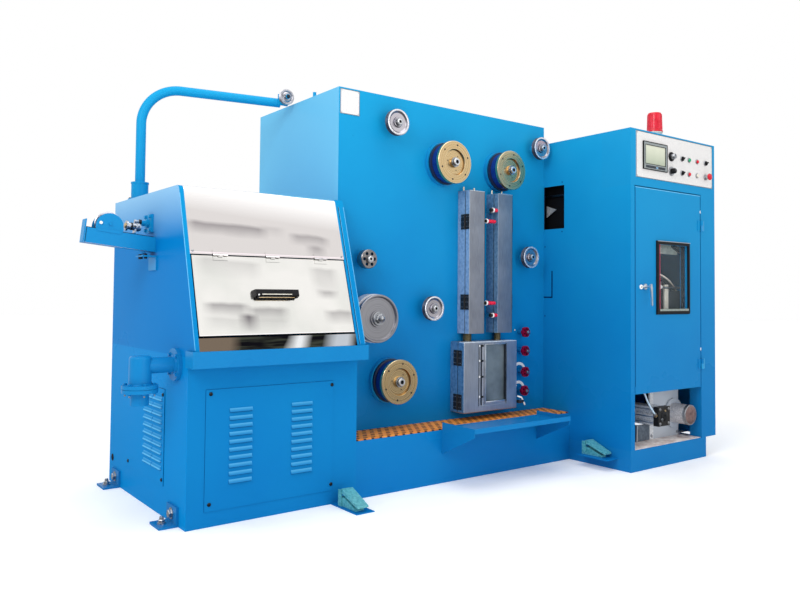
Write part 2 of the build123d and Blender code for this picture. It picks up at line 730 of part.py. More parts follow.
beacon_x = take_up_left + 420
beacon_y = take_up_front + 140
beacon_r = 46
beacon_foot = 58
beacon_top = 168
with BuildPart() as beacon:
    rod_z(beacon_x, beacon_y, take_up_height, take_up_height + beacon_foot, beacon_r + 2)
    with BuildSketch(Plane(origin=(beacon_x, beacon_y, take_up_height + beacon_foot))):
        Circle(beacon_r + 2)
    with BuildSketch(Plane(origin=(beacon_x, beacon_y, take_up_height + beacon_top))):
        Circle(beacon_r - 4)
    loft()
    fillet(beacon.edges().filter_by(GeomType.CIRCLE).group_by(Axis.Z)[-1], 6)

# Door of the take-up cabinet: a folded pan with a window and two hinges on the right
window_left = door_left + window_offset
window_right = window_left + window_width
window_high = window_low + window_height
door_hinge_lows = (531, 1363)
door_hinge_length = 60
door_hinge_r = 8
door_pin_r = 4
door_axis_x = (door_right + opening_right) / 2
door_axis_y = take_up_front - door_hinge_r - 1
door_return = 20
with BuildPart() as spooler_door:
    slab(door_left, door_right, take_up_front, take_up_front + door_thickness, door_low, door_high)
    slab(door_left + sheet, door_right - sheet, take_up_front + sheet, take_up_front + door_thickness - sheet,
         door_low + sheet, door_high - sheet, mode=Mode.SUBTRACT)
    slab(door_left + door_return, door_right - door_return, take_up_front + sheet,
         take_up_front + door_thickness, door_low + door_return, door_high - door_return, mode=Mode.SUBTRACT)
    slab(window_left - 12, window_right + 12, take_up_front + sheet, take_up_front + 18,
         window_low - 12, window_high + 12)
    slab(window_left, window_right, take_up_front, take_up_front + door_thickness,
         window_low, window_high, mode=Mode.SUBTRACT)
    for low in door_hinge_lows:
        half = low + door_hinge_length / 2 + 0.5
        rod_z(door_axis_x, door_axis_y, half, low + door_hinge_length, door_hinge_r)
        slab(door_axis_x - 34, door_axis_x, take_up_front - 4, take_up_front, half, low + door_hinge_length)
        slab(door_axis_x - 34, door_axis_x - door_hinge_r - 1, take_up_front - 4, take_up_front,
             low, low + door_hinge_length)
        rod_z(door_axis_x, door_axis_y, half - 1, low + door_hinge_length + 1, door_pin_r + pin_clearance,
              mode=Mode.SUBTRACT)

# The fixed halves of all hinges, with their pins
with BuildPart() as door_hinges:
    for low in channel_hinge_lows:
        fixed_hinge(channel_edges[0][0], -1, low, side_hinge_length)
        fixed_hinge(channel_edges[1][1], 1, low, side_hinge_length)
    for low in tank_hinge_lows:
        fixed_hinge(tank_left, -1, low, side_hinge_length)
    for low in door_hinge_lows:
        half = low + door_hinge_length / 2 - 0.5
        rod_z(door_axis_x, door_axis_y, low, half, door_hinge_r)
        slab(door_axis_x, door_axis_x + 34, take_up_front - 4, take_up_front, low, half)
        slab(door_axis_x + door_hinge_r + 1, door_axis_x + 34, take_up_front - 4, take_up_front,
             low, low + door_hinge_length)
        rod_z(door_axis_x, door_axis_y, low, low + door_hinge_length, door_pin_r)

frame_reach = 12
with BuildPart() as window_frame:
    slab(window_left - frame_border, window_right + frame_border, take_up_front - frame_reach, take_up_front,
         window_low - frame_border, window_high + frame_border)
    chamfer(window_frame.faces().sort_by(Axis.Y)[0].edges(), 6)
    slab(window_left, window_right, take_up_front - frame_reach, take_up_front, window_low, window_high,
         mode=Mode.SUBTRACT)

glass_setback = 8
with BuildPart() as window_glass:
    slab(window_left, window_right, take_up_front + glass_setback, take_up_front + glass_setback + 5,
         window_low, window_high)

lever_x = door_left + 79
lever_z = 1018
lever_reach = 42
with BuildPart() as door_handle:
    rod_y(lever_x, lever_z, take_up_front - 12, take_up_front - 0.3, 16)
    rod_y(lever_x, lever_z, take_up_front - lever_reach, take_up_front - 12, 7)
    front_plate(take_up_front - lever_reach - 9, take_up_front - lever_reach, [
        (lever_x - 8, lever_z - 8), (lever_x - 7, lever_z + 13), (lever_x + 5, lever_z + 15),
        (lever_x + 9, lever_z - 8), (lever_x + 12, lever_z - 100), (lever_x + 9, lever_z - 108),
        (lever_x + 4, lever_z - 104), (lever_x + 1, lever_z - 50)])

# Behind the door: the take-up spool on its driven spindle
spool_x = take_up_left + 365
spool_z = 800
spool_front_y = take_up_front + 110
spool_r = 306
barrel_r = 140
spool_width = 420
flange = 14
spindle_r = 25
spindle_back_y = spool_front_y + spool_width + 30
driving_disc_r = 90
pedestal_half = 120
pedestal_depth = 200
with BuildPart() as take_up_spool:
    turned([
        (spindle_r + shaft_clearance, 10), (60, 10), (64, 14), (spool_r - 26, 14), (spool_r - 22, 0),
        (spool_r - 3, 0), (spool_r, 3), (spool_r, 22), (spool_r - 20, 22 + flange), (barrel_r, 22 + flange),
        (barrel_r, spool_width - 22 - flange), (spool_r - 20, spool_width - 22 - flange),
        (spool_r, spool_width - 22), (spool_r, spool_width), (spindle_r + shaft_clearance, spool_width)],
        spool_x, spool_front_y, spool_z)

with BuildPart() as spool_spindle:
    rod_y(spool_x, spool_z, spool_front_y - 4, spindle_back_y, spindle_r)
    rod_y(spool_x, spool_z, spool_front_y + spool_width + wheel_side_gap, spindle_back_y, driving_disc_r)
    slab(spool_x - pedestal_half, spool_x + pedestal_half, spindle_back_y, spindle_back_y + pedestal_depth,
         plinth_height, spool_z + pedestal_half)

# Lift drive in the low opening: plate, cross tube and air cylinder with its square cap
drive_plate_left = take_up_left + 363
drive_plate_width = 289
drive_plate_y = take_up_front + 140
drive_plate_top = 470
drive_plate_wall = 10
tube_x = take_up_left + 593
tube_z = 259
tube_r = 59
cylinder_x = take_up_left + 342
cylinder_z = 273
cylinder_half = 52
cylinder_length = 285
groove_half = 10
groove_depth = 6
groove_offset = 22
cap_half = 55
cap_front = take_up_front + 25
cap_depth = 34
foot_block = 60
fitting_r = 9
fitting_length = 30
fitting_inset = 6
hose_port_z = 520
port_reach = 12
port_y = take_up_front + 60
fitting_out = Vector(-1, 0, 1).normalized()
fitting_root = Vector(cylinder_x - cap_half + fitting_inset, cap_front + cap_depth / 2, cylinder_z)
hose_start = fitting_root + fitting_out * fitting_length
with BuildPart() as lift_drive:
    slab(drive_plate_left, drive_plate_left + drive_plate_width, drive_plate_y,
         drive_plate_y + drive_plate_wall, plinth_height, drive_plate_top)
    rod_y(tube_x, tube_z, drive_plate_y - 12, drive_plate_y, tube_r + 28)
    rod_y(tube_x, tube_z, take_up_front + 15, drive_plate_y, tube_r)
    slab(cylinder_x - cap_half, cylinder_x + cap_half, cap_front, cap_front + cap_depth,
         cylinder_z - cap_half, cylinder_z + cap_half)
    cap_back = cap_front + cap_depth
    slab(cylinder_x - cylinder_half, cylinder_x + cylinder_half, cap_back, cap_back + cylinder_length,
         cylinder_z - cylinder_half, cylinder_z + cylinder_half)
    for x in (cylinder_x - cylinder_half, cylinder_x + cylinder_half - groove_depth):
        for z in (cylinder_z - groove_offset, cylinder_z + groove_offset):
            slab(x, x + groove_depth, cap_back, cap_back + cylinder_length, z - groove_half, z + groove_half,
                 mode=Mode.SUBTRACT)
    slab(cylinder_x - cap_half, cylinder_x + cap_half, cap_back + cylinder_length,
         cap_back + cylinder_length + foot_block, plinth_height, cylinder_z + cap_half)
    with BuildSketch(Plane(origin=fitting_root, z_dir=fitting_out)):
        Circle(fitting_r)
    extrude(amount=fitting_length)
    rod_x(port_y, hose_port_z, take_up_left + wall, take_up_left + wall + port_reach, fitting_r)

# Air hose from the fitting on the cylinder's cap to a port in the left wall
hose_r = 5
hose_straight = 75
port_x = take_up_left + wall + port_reach
hose_points = [
    tuple(hose_start), tuple(hose_start + fitting_out * hose_straight),
    (port_x + 126, port_y - 10, hose_port_z - 80), (port_x + 84, port_y, hose_port_z),
    (port_x, port_y, hose_port_z)]


def corner_radii(points):
    """The largest tangent arc at each corner that leaves a tenth of the shorter run straight."""
    radii = []
    for before, corner, after in zip(points, points[1:], points[2:]):
        run_in = Vector(*corner) - Vector(*before)
        run_out = Vector(*after) - Vector(*corner)
        half_turn = math.radians(run_in.get_angle(run_out)) / 2
        radii.append(0.45 * min(run_in.length, run_out.length) / math.tan(half_turn))
    return radii


with BuildPart() as air_hose:
    with BuildLine() as hose_path:
        FilletPolyline(*hose_points, radius=corner_radii(hose_points))
    with BuildSketch(Plane(origin=hose_path.line @ 0, z_dir=hose_path.line % 0)):
        Circle(hose_r)
    sweep()

# Bent wire pipe from the drawing cabinet's roof, with a bracket for its end pulley
pipe_r = 24
pipe_x = draw_left + 60
pipe_y = draw_back - 200
pipe_z = box_height + 1
pipe_bend_r = 190
pipe_end = (box_left - 68, box_front + 508)
socket_r = 41
socket_height = 90
arm_pulley_place = (pipe_end[0] + 19, pipe_z + 28, 42)
arm_pulley_face = pipe_end[1] - 51
arm_pulley_width = 18
arm_shaft_r = 8
bracket_wall = 10
with BuildPart() as bent_pipe:
    with BuildLine() as pipe_path:
        FilletPolyline((pipe_x, pipe_y, housing_height), (pipe_x, pipe_y, pipe_z), (*pipe_end, pipe_z),
                       radius=pipe_bend_r)
    with BuildSketch(Plane(origin=pipe_path.line @ 0, z_dir=pipe_path.line % 0)):
        Circle(pipe_r)
    sweep()
    rod_z(pipe_x, pipe_y, housing_height, housing_height + socket_height, socket_r)
    arm_x, arm_z, arm_r = arm_pulley_place
    bracket_y = arm_pulley_face + arm_pulley_width + wheel_side_gap
    slab(arm_x - 40, arm_x + 16, bracket_y, bracket_y + bracket_wall, pipe_z - 16, arm_z + 14)
    rod_y(arm_x, arm_z, arm_pulley_face - nose_length, bracket_y, arm_shaft_r)
    rod_y(arm_x, arm_z, arm_pulley_face - nose_length, arm_pulley_face - washer_gap, arm_shaft_r + 5)

with BuildPart() as arm_pulley:
    pulley(*arm_pulley_place, arm_pulley_face, width=arm_pulley_width, shaft=arm_shaft_r)

# Wire entry on the left cheek: a tilted channel with two round guards, a pulley and a guide tube
entry_y = front_y + 460
entry_z = 1181
entry_tilt = 6
entry_length = 305
entry_half = 35
entry_wall = 4
entry_end_top = 68
guard_x = 206
guard_rise = 49
guard_r = 58
entry_pulley_rise = 59
entry_pulley_r = 56
entry_pulley_width = 20
entry_shaft_r = 6
guide_rise = 68
guide_near = 66
guide_far = 130
guide_r = 15
guide_bore = 6
tilt = math.radians(entry_tilt)
entry_plane = Plane(
    origin=(draw_left, entry_y, entry_z), x_dir=(-math.cos(tilt), 0, math.sin(tilt)),
    z_dir=(math.sin(tilt), 0, math.cos(tilt)))
entry_pulley_centre = entry_plane.from_local_coords((guard_x, 0, entry_pulley_rise))
with BuildPart(entry_plane) as entry_channel:
    slab(-10, entry_length, -entry_half, entry_half, -34, 34)
    slab(entry_wall, entry_length - entry_wall, entry_wall - entry_half, entry_half - entry_wall,
         entry_wall - 34, 34, mode=Mode.SUBTRACT)
    slab(entry_length - entry_wall, entry_length, 8 - entry_half, entry_half - 8, 30, entry_end_top)
    slab(guide_near + 20, guide_near + 28, -12, 12, entry_wall - 34, guide_rise - 8)
    rod_x(0, guide_rise, guide_near, guide_far, guide_r)
    rod_x(0, guide_rise, guide_far - 6, guide_far, guide_r + 7)
    rod_x(0, guide_rise, guide_near - 1, guide_far + 1, guide_bore, mode=Mode.SUBTRACT)
    for side in (-1, 1):
        middle = side * (entry_half - entry_wall / 2)
        guard_plane = Plane(origin=entry_plane.from_local_coords((guard_x, middle, 0)),
                            x_dir=entry_plane.x_dir, z_dir=-entry_plane.y_dir)
        with BuildSketch(guard_plane) as guard:
            with Locations((0, guard_rise)):
                Circle(guard_r)
            with Locations((0, guard_rise / 2)):
                Rectangle(2 * guard_r, guard_rise)
        extrude(guard.sketch, amount=entry_wall / 2, both=True)
    bolt_y = (entry_plane.origin.Y - entry_half - 8, entry_plane.origin.Y + entry_half + 8)
    with BuildSketch(Plane(origin=(entry_pulley_centre.X, bolt_y[0], entry_pulley_centre.Z),
                           x_dir=(1, 0, 0), z_dir=(0, 1, 0))) as bolt:
        Circle(entry_shaft_r)
    extrude(bolt.sketch, amount=bolt_y[1] - bolt_y[0])
    with BuildSketch(Plane(origin=(draw_left, entry_y, entry_z), x_dir=(0, 1, 0), z_dir=(1, 0, 0))) as face:
        Rectangle(200, 300)
    extrude(face.sketch, amount=20, mode=Mode.SUBTRACT)

with BuildPart() as entry_pulley:
    pulley(entry_pulley_centre.X, entry_pulley_centre.Z, entry_pulley_r, entry_y - entry_pulley_width / 2,
           width=entry_pulley_width, shaft=entry_shaft_r)

# Bushed wire flange and the arm's angle bracket, both bolted on the left cheek
flange_half = 42
flange_y = entry_y + 40
flange_z = 1280
flange_wall = 12
shelf_z = 1124
shelf_reach = 65
shelf_wall = 6
with BuildPart() as entry_arm:
    add(entry_channel.part)
    slab(draw_left - flange_wall, draw_left, flange_y - flange_half, flange_y + flange_half,
         flange_z - flange_half, flange_z + flange_half)
    rod_x(flange_y, flange_z, draw_left - flange_wall - 10, draw_left - flange_wall, 20)
    rod_x(flange_y, flange_z, draw_left - flange_wall - 11, draw_left - 2, guide_bore, mode=Mode.SUBTRACT)
    slab(draw_left - shelf_reach, draw_left, entry_y - 60, entry_y + 40, shelf_z, shelf_z + shelf_wall)
    slab(draw_left - shelf_wall, draw_left, entry_y - 60, entry_y + 40, shelf_z - 60, shelf_z)
    rod_z(draw_left - 40, entry_y, shelf_z + shelf_wall, shelf_z + shelf_wall + 14, 9)

# Drain elbow on the left side: wall flange, level pipe, upright pipe and a bolted joint
drain_y = front_y + 130
drain_z = 664
drain_reach = 150
drain_pipe_r = 44
joint_r = 71
joint_high = drain_z - 76
joint_wall = 15
joint_gap = 2
drain_mouth = joint_high - 83
drain_x = draw_left - drain_reach
with BuildPart() as drain_elbow:
    joint_middle = joint_high - joint_wall
    joint_low = joint_middle - joint_gap - joint_wall
    rod_z(drain_x, drain_y, joint_high, drain_z + 41, drain_pipe_r)
    fillet(drain_elbow.edges().filter_by(GeomType.CIRCLE).group_by(Axis.Z)[-1], 12)
    rod_x(drain_y, drain_z, draw_left - 16, draw_left, 68)
    rod_x(drain_y, drain_z, drain_x, draw_left - 16, 33)
    rod_z(drain_x, drain_y, joint_middle, joint_high, joint_r)
    rod_z(drain_x, drain_y, joint_middle - joint_gap, joint_middle, joint_r - 4)
    rod_z(drain_x, drain_y, joint_low, joint_middle - joint_gap, joint_r)
    rod_z(drain_x, drain_y, drain_mouth, joint_low, 36)
    rod_z(drain_x, drain_y, drain_mouth - 1, joint_low - 6, 31, mode=Mode.SUBTRACT)

# Foot switches: a cast base with two ears, and a treadle that turns on the pin between them
pedal_width = 58
pedal_length = 162
pedal_pin_r = 4
ear_wall = 6
pin_setback = 13
pin_rise = 62


def pedal_base(left, back, low):
    """The base of a foot switch, with its ears and hinge pin; it stands on the height low."""
    side_plate(left + ear_wall, left + pedal_width - ear_wall, [
        (back, low), (back, low + 40), (back - 45, low + 40), (back - 135, low + 8), (back - 135, low)])
    for x in (left, left + pedal_width - ear_wall):
        slab(x, x + ear_wall, back - 26, back, low, low + pin_rise + 10)
    rod_x(back - pin_setback, low + pin_rise, left, left + pedal_width, pedal_pin_r)


def treadle(left, back, low):
    """A treadle with its hub on the hinge pin."""
    pin_y = back - pin_setback
    pin_z = low + pin_rise
    hub_left = left + ear_wall + wheel_side_gap
    hub_right = left + pedal_width - ear_wall - wheel_side_gap
    side_plate(left, left + pedal_width, [
        (back - 32, pin_z + 18), (back - pedal_length, low + 26), (back - pedal_length, low + 18),
        (back - 32, pin_z - 2)])
    side_plate(hub_left, hub_right, [
        (pin_y, pin_z + 14), (back - 32, pin_z + 18), (back - 32, pin_z - 2), (pin_y, pin_z - 8)])
    rod_x(pin_y, pin_z, hub_left, hub_right, 12)
    rod_x(pin_y, pin_z, hub_left - 1, hub_right + 1, pedal_pin_r + pin_clearance, mode=Mode.SUBTRACT)


floor_plate = 4
shelf_top = 66
second_setback = 290
first_pedal = (draw_right - 124, front_y - 45, floor_plate)
second_pedal = (take_up_left - pedal_width - 7, take_up_front + second_setback, shelf_top)
with BuildPart() as pedal_plates:
    slab(first_pedal[0] - 12, first_pedal[0] + pedal_width + 25, first_pedal[1] - 175, front_y,
         floor_z, floor_plate)
    pedal_base(*first_pedal)
    slab(second_pedal[0] - 29, take_up_left, second_pedal[1] - 200, second_pedal[1] + 13,
         shelf_top - shelf_wall, shelf_top)
    pedal_base(*second_pedal)

with BuildPart() as foot_pedal_1:
    treadle(*first_pedal)
with BuildPart() as foot_pedal_2:
    treadle(*second_pedal)

pieces = {
    "drawing_base": drawing_base, "housing_cheeks": housing_cheeks, "housing_top": housing_top,
    "fixed_covers": fixed_covers, "lower_cover": lower_cover, "cover_handle": cover_handle,
    "splash_lip": splash_lip, "access_panels": access_panels, "drawing_cones": drawing_cones,
    "foot_brackets": foot_brackets, "centre_base": centre_base, "centre_box": centre_box,
    "ledge_mat": ledge_mat, "tray": tray, "face_plates": face_plates,
    "anneal_channels": anneal_channels, "anneal_cover_left": anneal_cover_left,
    "anneal_cover_right": anneal_cover_right, "cover_latches": cover_latches,
    "cooling_tank": cooling_tank, "tank_door": tank_door,
    "guide_pulley_1": guide_pulley_1, "guide_pulley_2": guide_pulley_2,
    "guide_pulley_3": guide_pulley_3, "guide_pulley_4": guide_pulley_4,
    "contact_wheel_1": contact_wheel_1, "contact_wheel_2": contact_wheel_2,
    "contact_wheel_3": contact_wheel_3, "drilled_roller": drilled_roller, "capstan": capstan,
    "wheel_mounts": wheel_mounts, "handwheel_1": handwheel_1, "handwheel_2": handwheel_2,
    "handwheel_3": handwheel_3, "handwheel_4": handwheel_4,
    "spooler_plinth": spooler_plinth, "spooler_left_wall": spooler_left_wall,
    "spooler_right_wall": spooler_right_wall, "spooler_back_wall": spooler_back_wall,
    "spooler_head": spooler_head, "control_panel": control_panel, "panel_controls": panel_controls,
    "beacon": beacon, "spooler_door": spooler_door, "door_hinges": door_hinges,
    "window_frame": window_frame, "window_glass": window_glass, "door_handle": door_handle,
    "take_up_spool": take_up_spool, "spool_spindle": spool_spindle, "lift_drive": lift_drive,
    "air_hose": air_hose, "bent_pipe": bent_pipe, "arm_pulley": arm_pulley, "entry_arm": entry_arm,
    "entry_pulley": entry_pulley, "drain_elbow": drain_elbow,
    "pedal_plates": pedal_plates, "foot_pedal_1": foot_pedal_1, "foot_pedal_2": foot_pedal_2,
}

os.makedirs("parts", exist_ok=True)
for name, made in pieces.items():
    made.part.label = name
    export_step(made.part, f"parts/{name}.step")
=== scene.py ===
import math
from itertools import product

import bmesh
import bpy
from mathutils import Matrix, Vector


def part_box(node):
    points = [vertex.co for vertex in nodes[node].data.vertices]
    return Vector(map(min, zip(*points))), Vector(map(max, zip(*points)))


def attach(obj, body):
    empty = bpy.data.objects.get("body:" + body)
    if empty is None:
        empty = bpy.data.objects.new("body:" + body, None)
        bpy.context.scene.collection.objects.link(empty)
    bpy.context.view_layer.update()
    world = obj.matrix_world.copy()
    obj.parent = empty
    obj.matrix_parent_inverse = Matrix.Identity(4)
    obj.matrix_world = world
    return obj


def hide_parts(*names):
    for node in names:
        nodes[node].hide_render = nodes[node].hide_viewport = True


# Looks of the wire drawing machine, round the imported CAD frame.
# Places and sizes are in millimetres unless a comment says metres; the axes are the CAD's.
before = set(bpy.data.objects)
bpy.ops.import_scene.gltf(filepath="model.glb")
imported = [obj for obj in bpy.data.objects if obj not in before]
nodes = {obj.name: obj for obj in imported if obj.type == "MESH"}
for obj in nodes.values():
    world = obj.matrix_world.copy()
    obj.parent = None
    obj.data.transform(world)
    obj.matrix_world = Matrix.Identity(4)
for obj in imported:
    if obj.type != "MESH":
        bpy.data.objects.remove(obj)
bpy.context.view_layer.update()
MM = 0.001

# The photograph's camera: degrees, metres and millimetres of film
CAMERA_ANGLES = (38.059, 2.053, 0.471)
CAMERA_PLACE = (-1.5547, -3.5387, 0.9683)
CAMERA_LENS, SENSOR_WIDTH = 34.22, 36
SHIFT_X, SHIFT_Y = -0.0327, -0.0419
VIEW_DEPTH = 200


def place_camera():
    """The photograph's view, with its small shift."""
    yaw, pitch, roll = (math.radians(angle) for angle in CAMERA_ANGLES)
    forward = Vector((math.sin(yaw) * math.cos(pitch), math.cos(yaw) * math.cos(pitch), math.sin(pitch)))
    level = Vector((math.cos(yaw), -math.sin(yaw), 0))
    over = level.cross(forward)
    right = level * math.cos(roll) + over * math.sin(roll)
    up = over * math.cos(roll) - level * math.sin(roll)
    camera = bpy.data.objects.new("camera", bpy.data.cameras.new("camera"))
    camera.data.lens, camera.data.sensor_width = CAMERA_LENS, SENSOR_WIDTH
    camera.data.shift_x, camera.data.shift_y = SHIFT_X, SHIFT_Y
    camera.data.clip_end = VIEW_DEPTH
    placed = Matrix((right, up, -forward)).transposed().to_4x4()
    placed.translation = Vector(CAMERA_PLACE)
    camera.matrix_world = placed
    bpy.context.scene.collection.objects.link(camera)
    bpy.context.scene.camera = camera


place_camera()

# The air hose's route and size, in metres
HOSE_POINTS = ((2.18179, -0.898, 0.29421), (2.12875, -0.898, 0.34725), (2.083, -0.89, 0.44),
               (2.041, -0.88, 0.52), (1.957, -0.88, 0.52))
HOSE_DIAMETER = 0.01


def add_hose():
    """The air hose, along the route of part.py."""
    curve = bpy.data.curves.new("hose_line", "CURVE")
    curve.dimensions = "3D"
    spline = curve.splines.new("NURBS")
    spline.points.add(len(HOSE_POINTS) - 1)
    for control, point in zip(spline.points, HOSE_POINTS):
        control.co = (*point, 1)
    spline.order_u = 3
    spline.use_endpoint_u = True
    line = bpy.data.objects.new("hose_line", curve)
    path = [tuple(corner.co) for corner in bpy.data.meshes.new_from_object(line).vertices]
    curve.bevel_depth = HOSE_DIAMETER / 2
    curve.bevel_resolution = 5
    curve.use_fill_caps = True
    hose = bpy.data.objects.new("cylinder_hose", bpy.data.meshes.new_from_object(line))
    bpy.data.objects.remove(line)
    hose.data.polygons.foreach_set("use_smooth", [True] * len(hose.data.polygons))
    bpy.context.scene.collection.objects.link(hose)
    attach(hose, "frame")
    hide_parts("air_hose")
    return hose


hose = add_hose()


# Materials. Shades are pairs of display colours in hex digits, and a pattern runs between them
def linear(code):
    """The linear colour of six hex digits."""
    shown = [int(code[place:place + 2], 16) / 255 for place in (0, 2, 4)]
    return (*(one / 12.92 if one <= 0.04045 else ((one + 0.055) / 1.055) ** 2.4 for one in shown), 1)


class Tree:
    """The shader nodes of a material or of the world, which get new ones here."""

    def __init__(self, owner):
        owner.use_nodes = True
        self.tree = owner.node_tree

    def node(self, kind, inputs, out=0, **settings):
        """Adds a node with its settings and inputs, and gives one of its outputs."""
        node = self.tree.nodes.new("ShaderNode" + kind)
        for name, value in settings.items():
            setattr(node, name, value)
        for name, value in inputs.items():
            self.feed(node.inputs[name], value)
        return node.outputs[out]

    def feed(self, socket, value):
        if isinstance(value, bpy.types.NodeSocket):
            self.tree.links.new(value, socket)
        else:
            socket.default_value = linear(value) if isinstance(value, str) else value

    def sum(self, operation, *values):
        return self.node("Math", dict(enumerate(values)), operation=operation)

    def spread(self, *values, **settings):
        """Maps a value between low and high to the last two numbers."""
        return self.node("MapRange", dict(enumerate(values)), **settings)


class Look(Tree):
    """A procedural material: one finish, with masked finishes laid over it."""

    def __init__(self, name, **constants):
        self.material = bpy.data.materials.new(name)
        super().__init__(self.material)
        self.constants = constants
        self.place = self.node("TexCoord", {}, "Object")
        self.colour = self.height = self.ready = None

    def plus(self, a, b):
        return self.sum("ADD", a, b)

    def times(self, a, b):
        return self.sum("MULTIPLY", a, b)

    def less(self, a, b):
        return self.sum("LESS_THAN", a, b)

    def axis(self, letter):
        """One coordinate of the surface, in metres."""
        return self.node("SeparateXYZ", {0: self.place}, letter.upper())

    def noise(self, scale, detail=3, stretch=(1, 1, 1)):
        turned = self.node("Mapping", {"Vector": self.place, "Scale": stretch})
        return self.node("TexNoise", {"Vector": turned, "Scale": scale, "Detail": detail, "Roughness": 0.55})

    def radius(self, x, z):
        """Distance from a centre on the front, in metres; the centre is in millimetres."""
        offs = [self.sum("SUBTRACT", self.axis(name), middle * MM) for name, middle in (("x", x), ("z", z))]
        return self.sum("SQRT", self.plus(*(self.times(off, off) for off in offs)))

    def mix(self, share, a, b):
        return self.node("Mix", {0: share, 6: a, 7: b}, 2, data_type="RGBA")

    def between(self, value, low, high, soft=0):
        """1 where the value is between low and high, with soft edges where asked."""
        if soft:
            return self.times(self.spread(value, low - soft, low + soft, 0, 1),
                              self.spread(value, high - soft, high + soft, 1, 0))
        return self.times(self.sum("GREATER_THAN", value, low), self.less(value, high))

    def box(self, mask=None, **ranges):
        """1 inside ranges on the axes x, y and z, in millimetres, and where the mask is."""
        share = None
        for letter, (low, high) in ranges.items():
            inside = self.between(self.axis(letter), low * MM, high * MM)
            share = inside if share is None else self.times(share, inside)
        if mask is None or share is None:
            return share if mask is None else mask
        return self.times(mask, share)

    def finish(self, pattern, shades, rough, metal=0, mask=None):
        """Lays a finish: colours and roughness run between two values by the pattern."""
        tint = self.mix(pattern, *shades.split())
        gloss = self.spread(pattern, 0, 1, *rough)
        if mask is None:
            self.colour, self.rough, self.metal = tint, gloss, metal
        else:
            self.colour = self.mix(mask, self.colour, tint)
            self.rough = self.node("Mix", {0: mask, 2: self.rough, 3: gloss})
            self.metal = self.node("Mix", {0: mask, 2: self.metal, 3: metal})
        return self

    def grained(self, shades, rough, metal=0, scale=120, mask=None):
        """A fine grained finish."""
        return self.finish(self.spread(self.noise(scale), 0.35, 0.65, 0, 1), shades, rough, metal, mask)

    def lay(self, shades, rough, metal=0, scale=120, mask=None, **ranges):
        """Lays a fine grained finish where the mask and the ranges are."""
        return self.grained(shades, rough, metal, scale, self.box(mask, **ranges))

    def stain(self, tint, mask=None, **ranges):
        """Lays a plain colour where the mask and the ranges are."""
        self.colour = self.mix(self.box(mask, **ranges), self.colour, tint)
        return self

    def relief(self, height, strength, distance):
        """Adds a bump from a height pattern, with its depth in metres."""
        self.height = self.node("Bump", {"Strength": strength, "Distance": distance, "Height": height})
        return self

    def done(self):
        """The finished material."""
        if not self.ready:
            shader = self.tree.nodes["Principled BSDF"]
            finish = {"Base_Color": self.colour, "Roughness": self.rough, "Metallic": self.metal,
                      "Normal": self.height}
            for name, value in {**finish, **self.constants}.items():
                if value is not None:
                    self.feed(shader.inputs[name.replace("_", " ")], value)
            self.ready = True
        return self.material


# BLUE_FRONT is BLUE painted a little lighter low down for the front-facing parts, as painted light;
# LEFT_BLUE is a flat blue painted on left faces for the light of their own side
BLUE = "0870b4 1698cc"
BLUE_FRONT = "1073b4 1896ca"
LEFT_BLUE = "0880c4"
STEEL = "a0a0a8 d0d0d6"
SATIN = "8e9098 bebec3"
TANK_SATIN = "9ca4b2 c8ced8"
# Painted light and shade of left faces: SIDE_LIGHT where they are lit, SIDE_DIM where they are shaded,
# SIDE_TANK the tank's bluish shaded side
SIDE_LIGHT = "86a4c4 aac4de"
SIDE_DIM = "6084a4 80a4c2"
SIDE_TANK = "3e6e9a 608eb6"
BLACK = "0e0e10 202023"
BRASS = "c4a674 f0d4a4"
ZINC = "969aa0 ced0d4"
CREAM = "d4d3d3 eae8e6"
TEAL = "3a929e 68b8c0"
SATIN_ROUGH = (0.34, 0.46)
SLOPE_RUN = 220 / 697
LOUVRE_FOOT, LOUVRE_PITCH = 168, 33
MAT_PITCH = 46
# Painted blurred reflections in the polished steel: x range, z range, and how dark the top edge is
BLURRED = (
    ((-372, -30), (1196, 1254), 0.62), ((-40, 60), (1215, 1268), 0.2), ((108, 290), (1190, 1242), 0.5),
    ((190, 264), (1136, 1196), 0.5), ((-345, -80), (1010, 1096), 0.24), ((188, 308), (950, 1096), 0.3),
    ((212, 292), (950, 992), 0.5), ((-330, -156), (850, 909), 0.62), ((-140, 28), (836, 899), 0.55),
    ((-180, -124), (786, 866), 0.95), ((236, 374), (832, 899), 0.5), ((-330, 30), (795, 850), 0.2))
# Painted highlight and shade rings on a contact wheel's flange, along the dish's step and the rim: share of
# its radius, half width, colour
PAINTED_RINGS = ((0.62, 1.6, "fae8be"), (0.585, 2.4, "96703e"), (0.70, 0.8, "c4a06c"), (0.97, 1.4, "fcecc8"))
# What lies behind a contact wheel's flange, where the thin dark band just behind it and the dark band over
# the back ring are painted shade: range of depth, shades, roughness
BEHIND = ((23, 74, "021a68 062a86", (0.35, 0.5)), (23, 31, "020a32 041242", (0.4, 0.5)),
          (68, 94, "0a1638 14244c", (0.4, 0.5)), (94, 100, "78bae2 96ceee", (0.3, 0.4)))
# How strongly enamel, its shaded left faces, matt plastic and plain paint mirror the surroundings
ENAMEL, SIDE_ENAMEL, MATT, FULL_GLOSS = 0.08, 0.01, 0.15, 0.5


def paint(name, shades=BLUE, rough=(0.26, 0.36), gloss=ENAMEL):
    """Sprayed enamel: a slow change of tone, painted light that makes it paler towards the top, and a fine
    orange peel.
    """
    look = Look(name, Specular_IOR_Level=gloss)
    cloud = look.spread(look.noise(1.6, 4), 0.3, 0.7, -0.1, 0.1)
    # Painted light: the blue grows paler with height
    height = look.sum("POWER", look.spread(look.axis("z"), 0, 2, 0, 1), 1.5)
    look.finish(look.plus(cloud, height), shades, rough)
    return look.relief(look.noise(420, 2), 0.02, 0.0003)


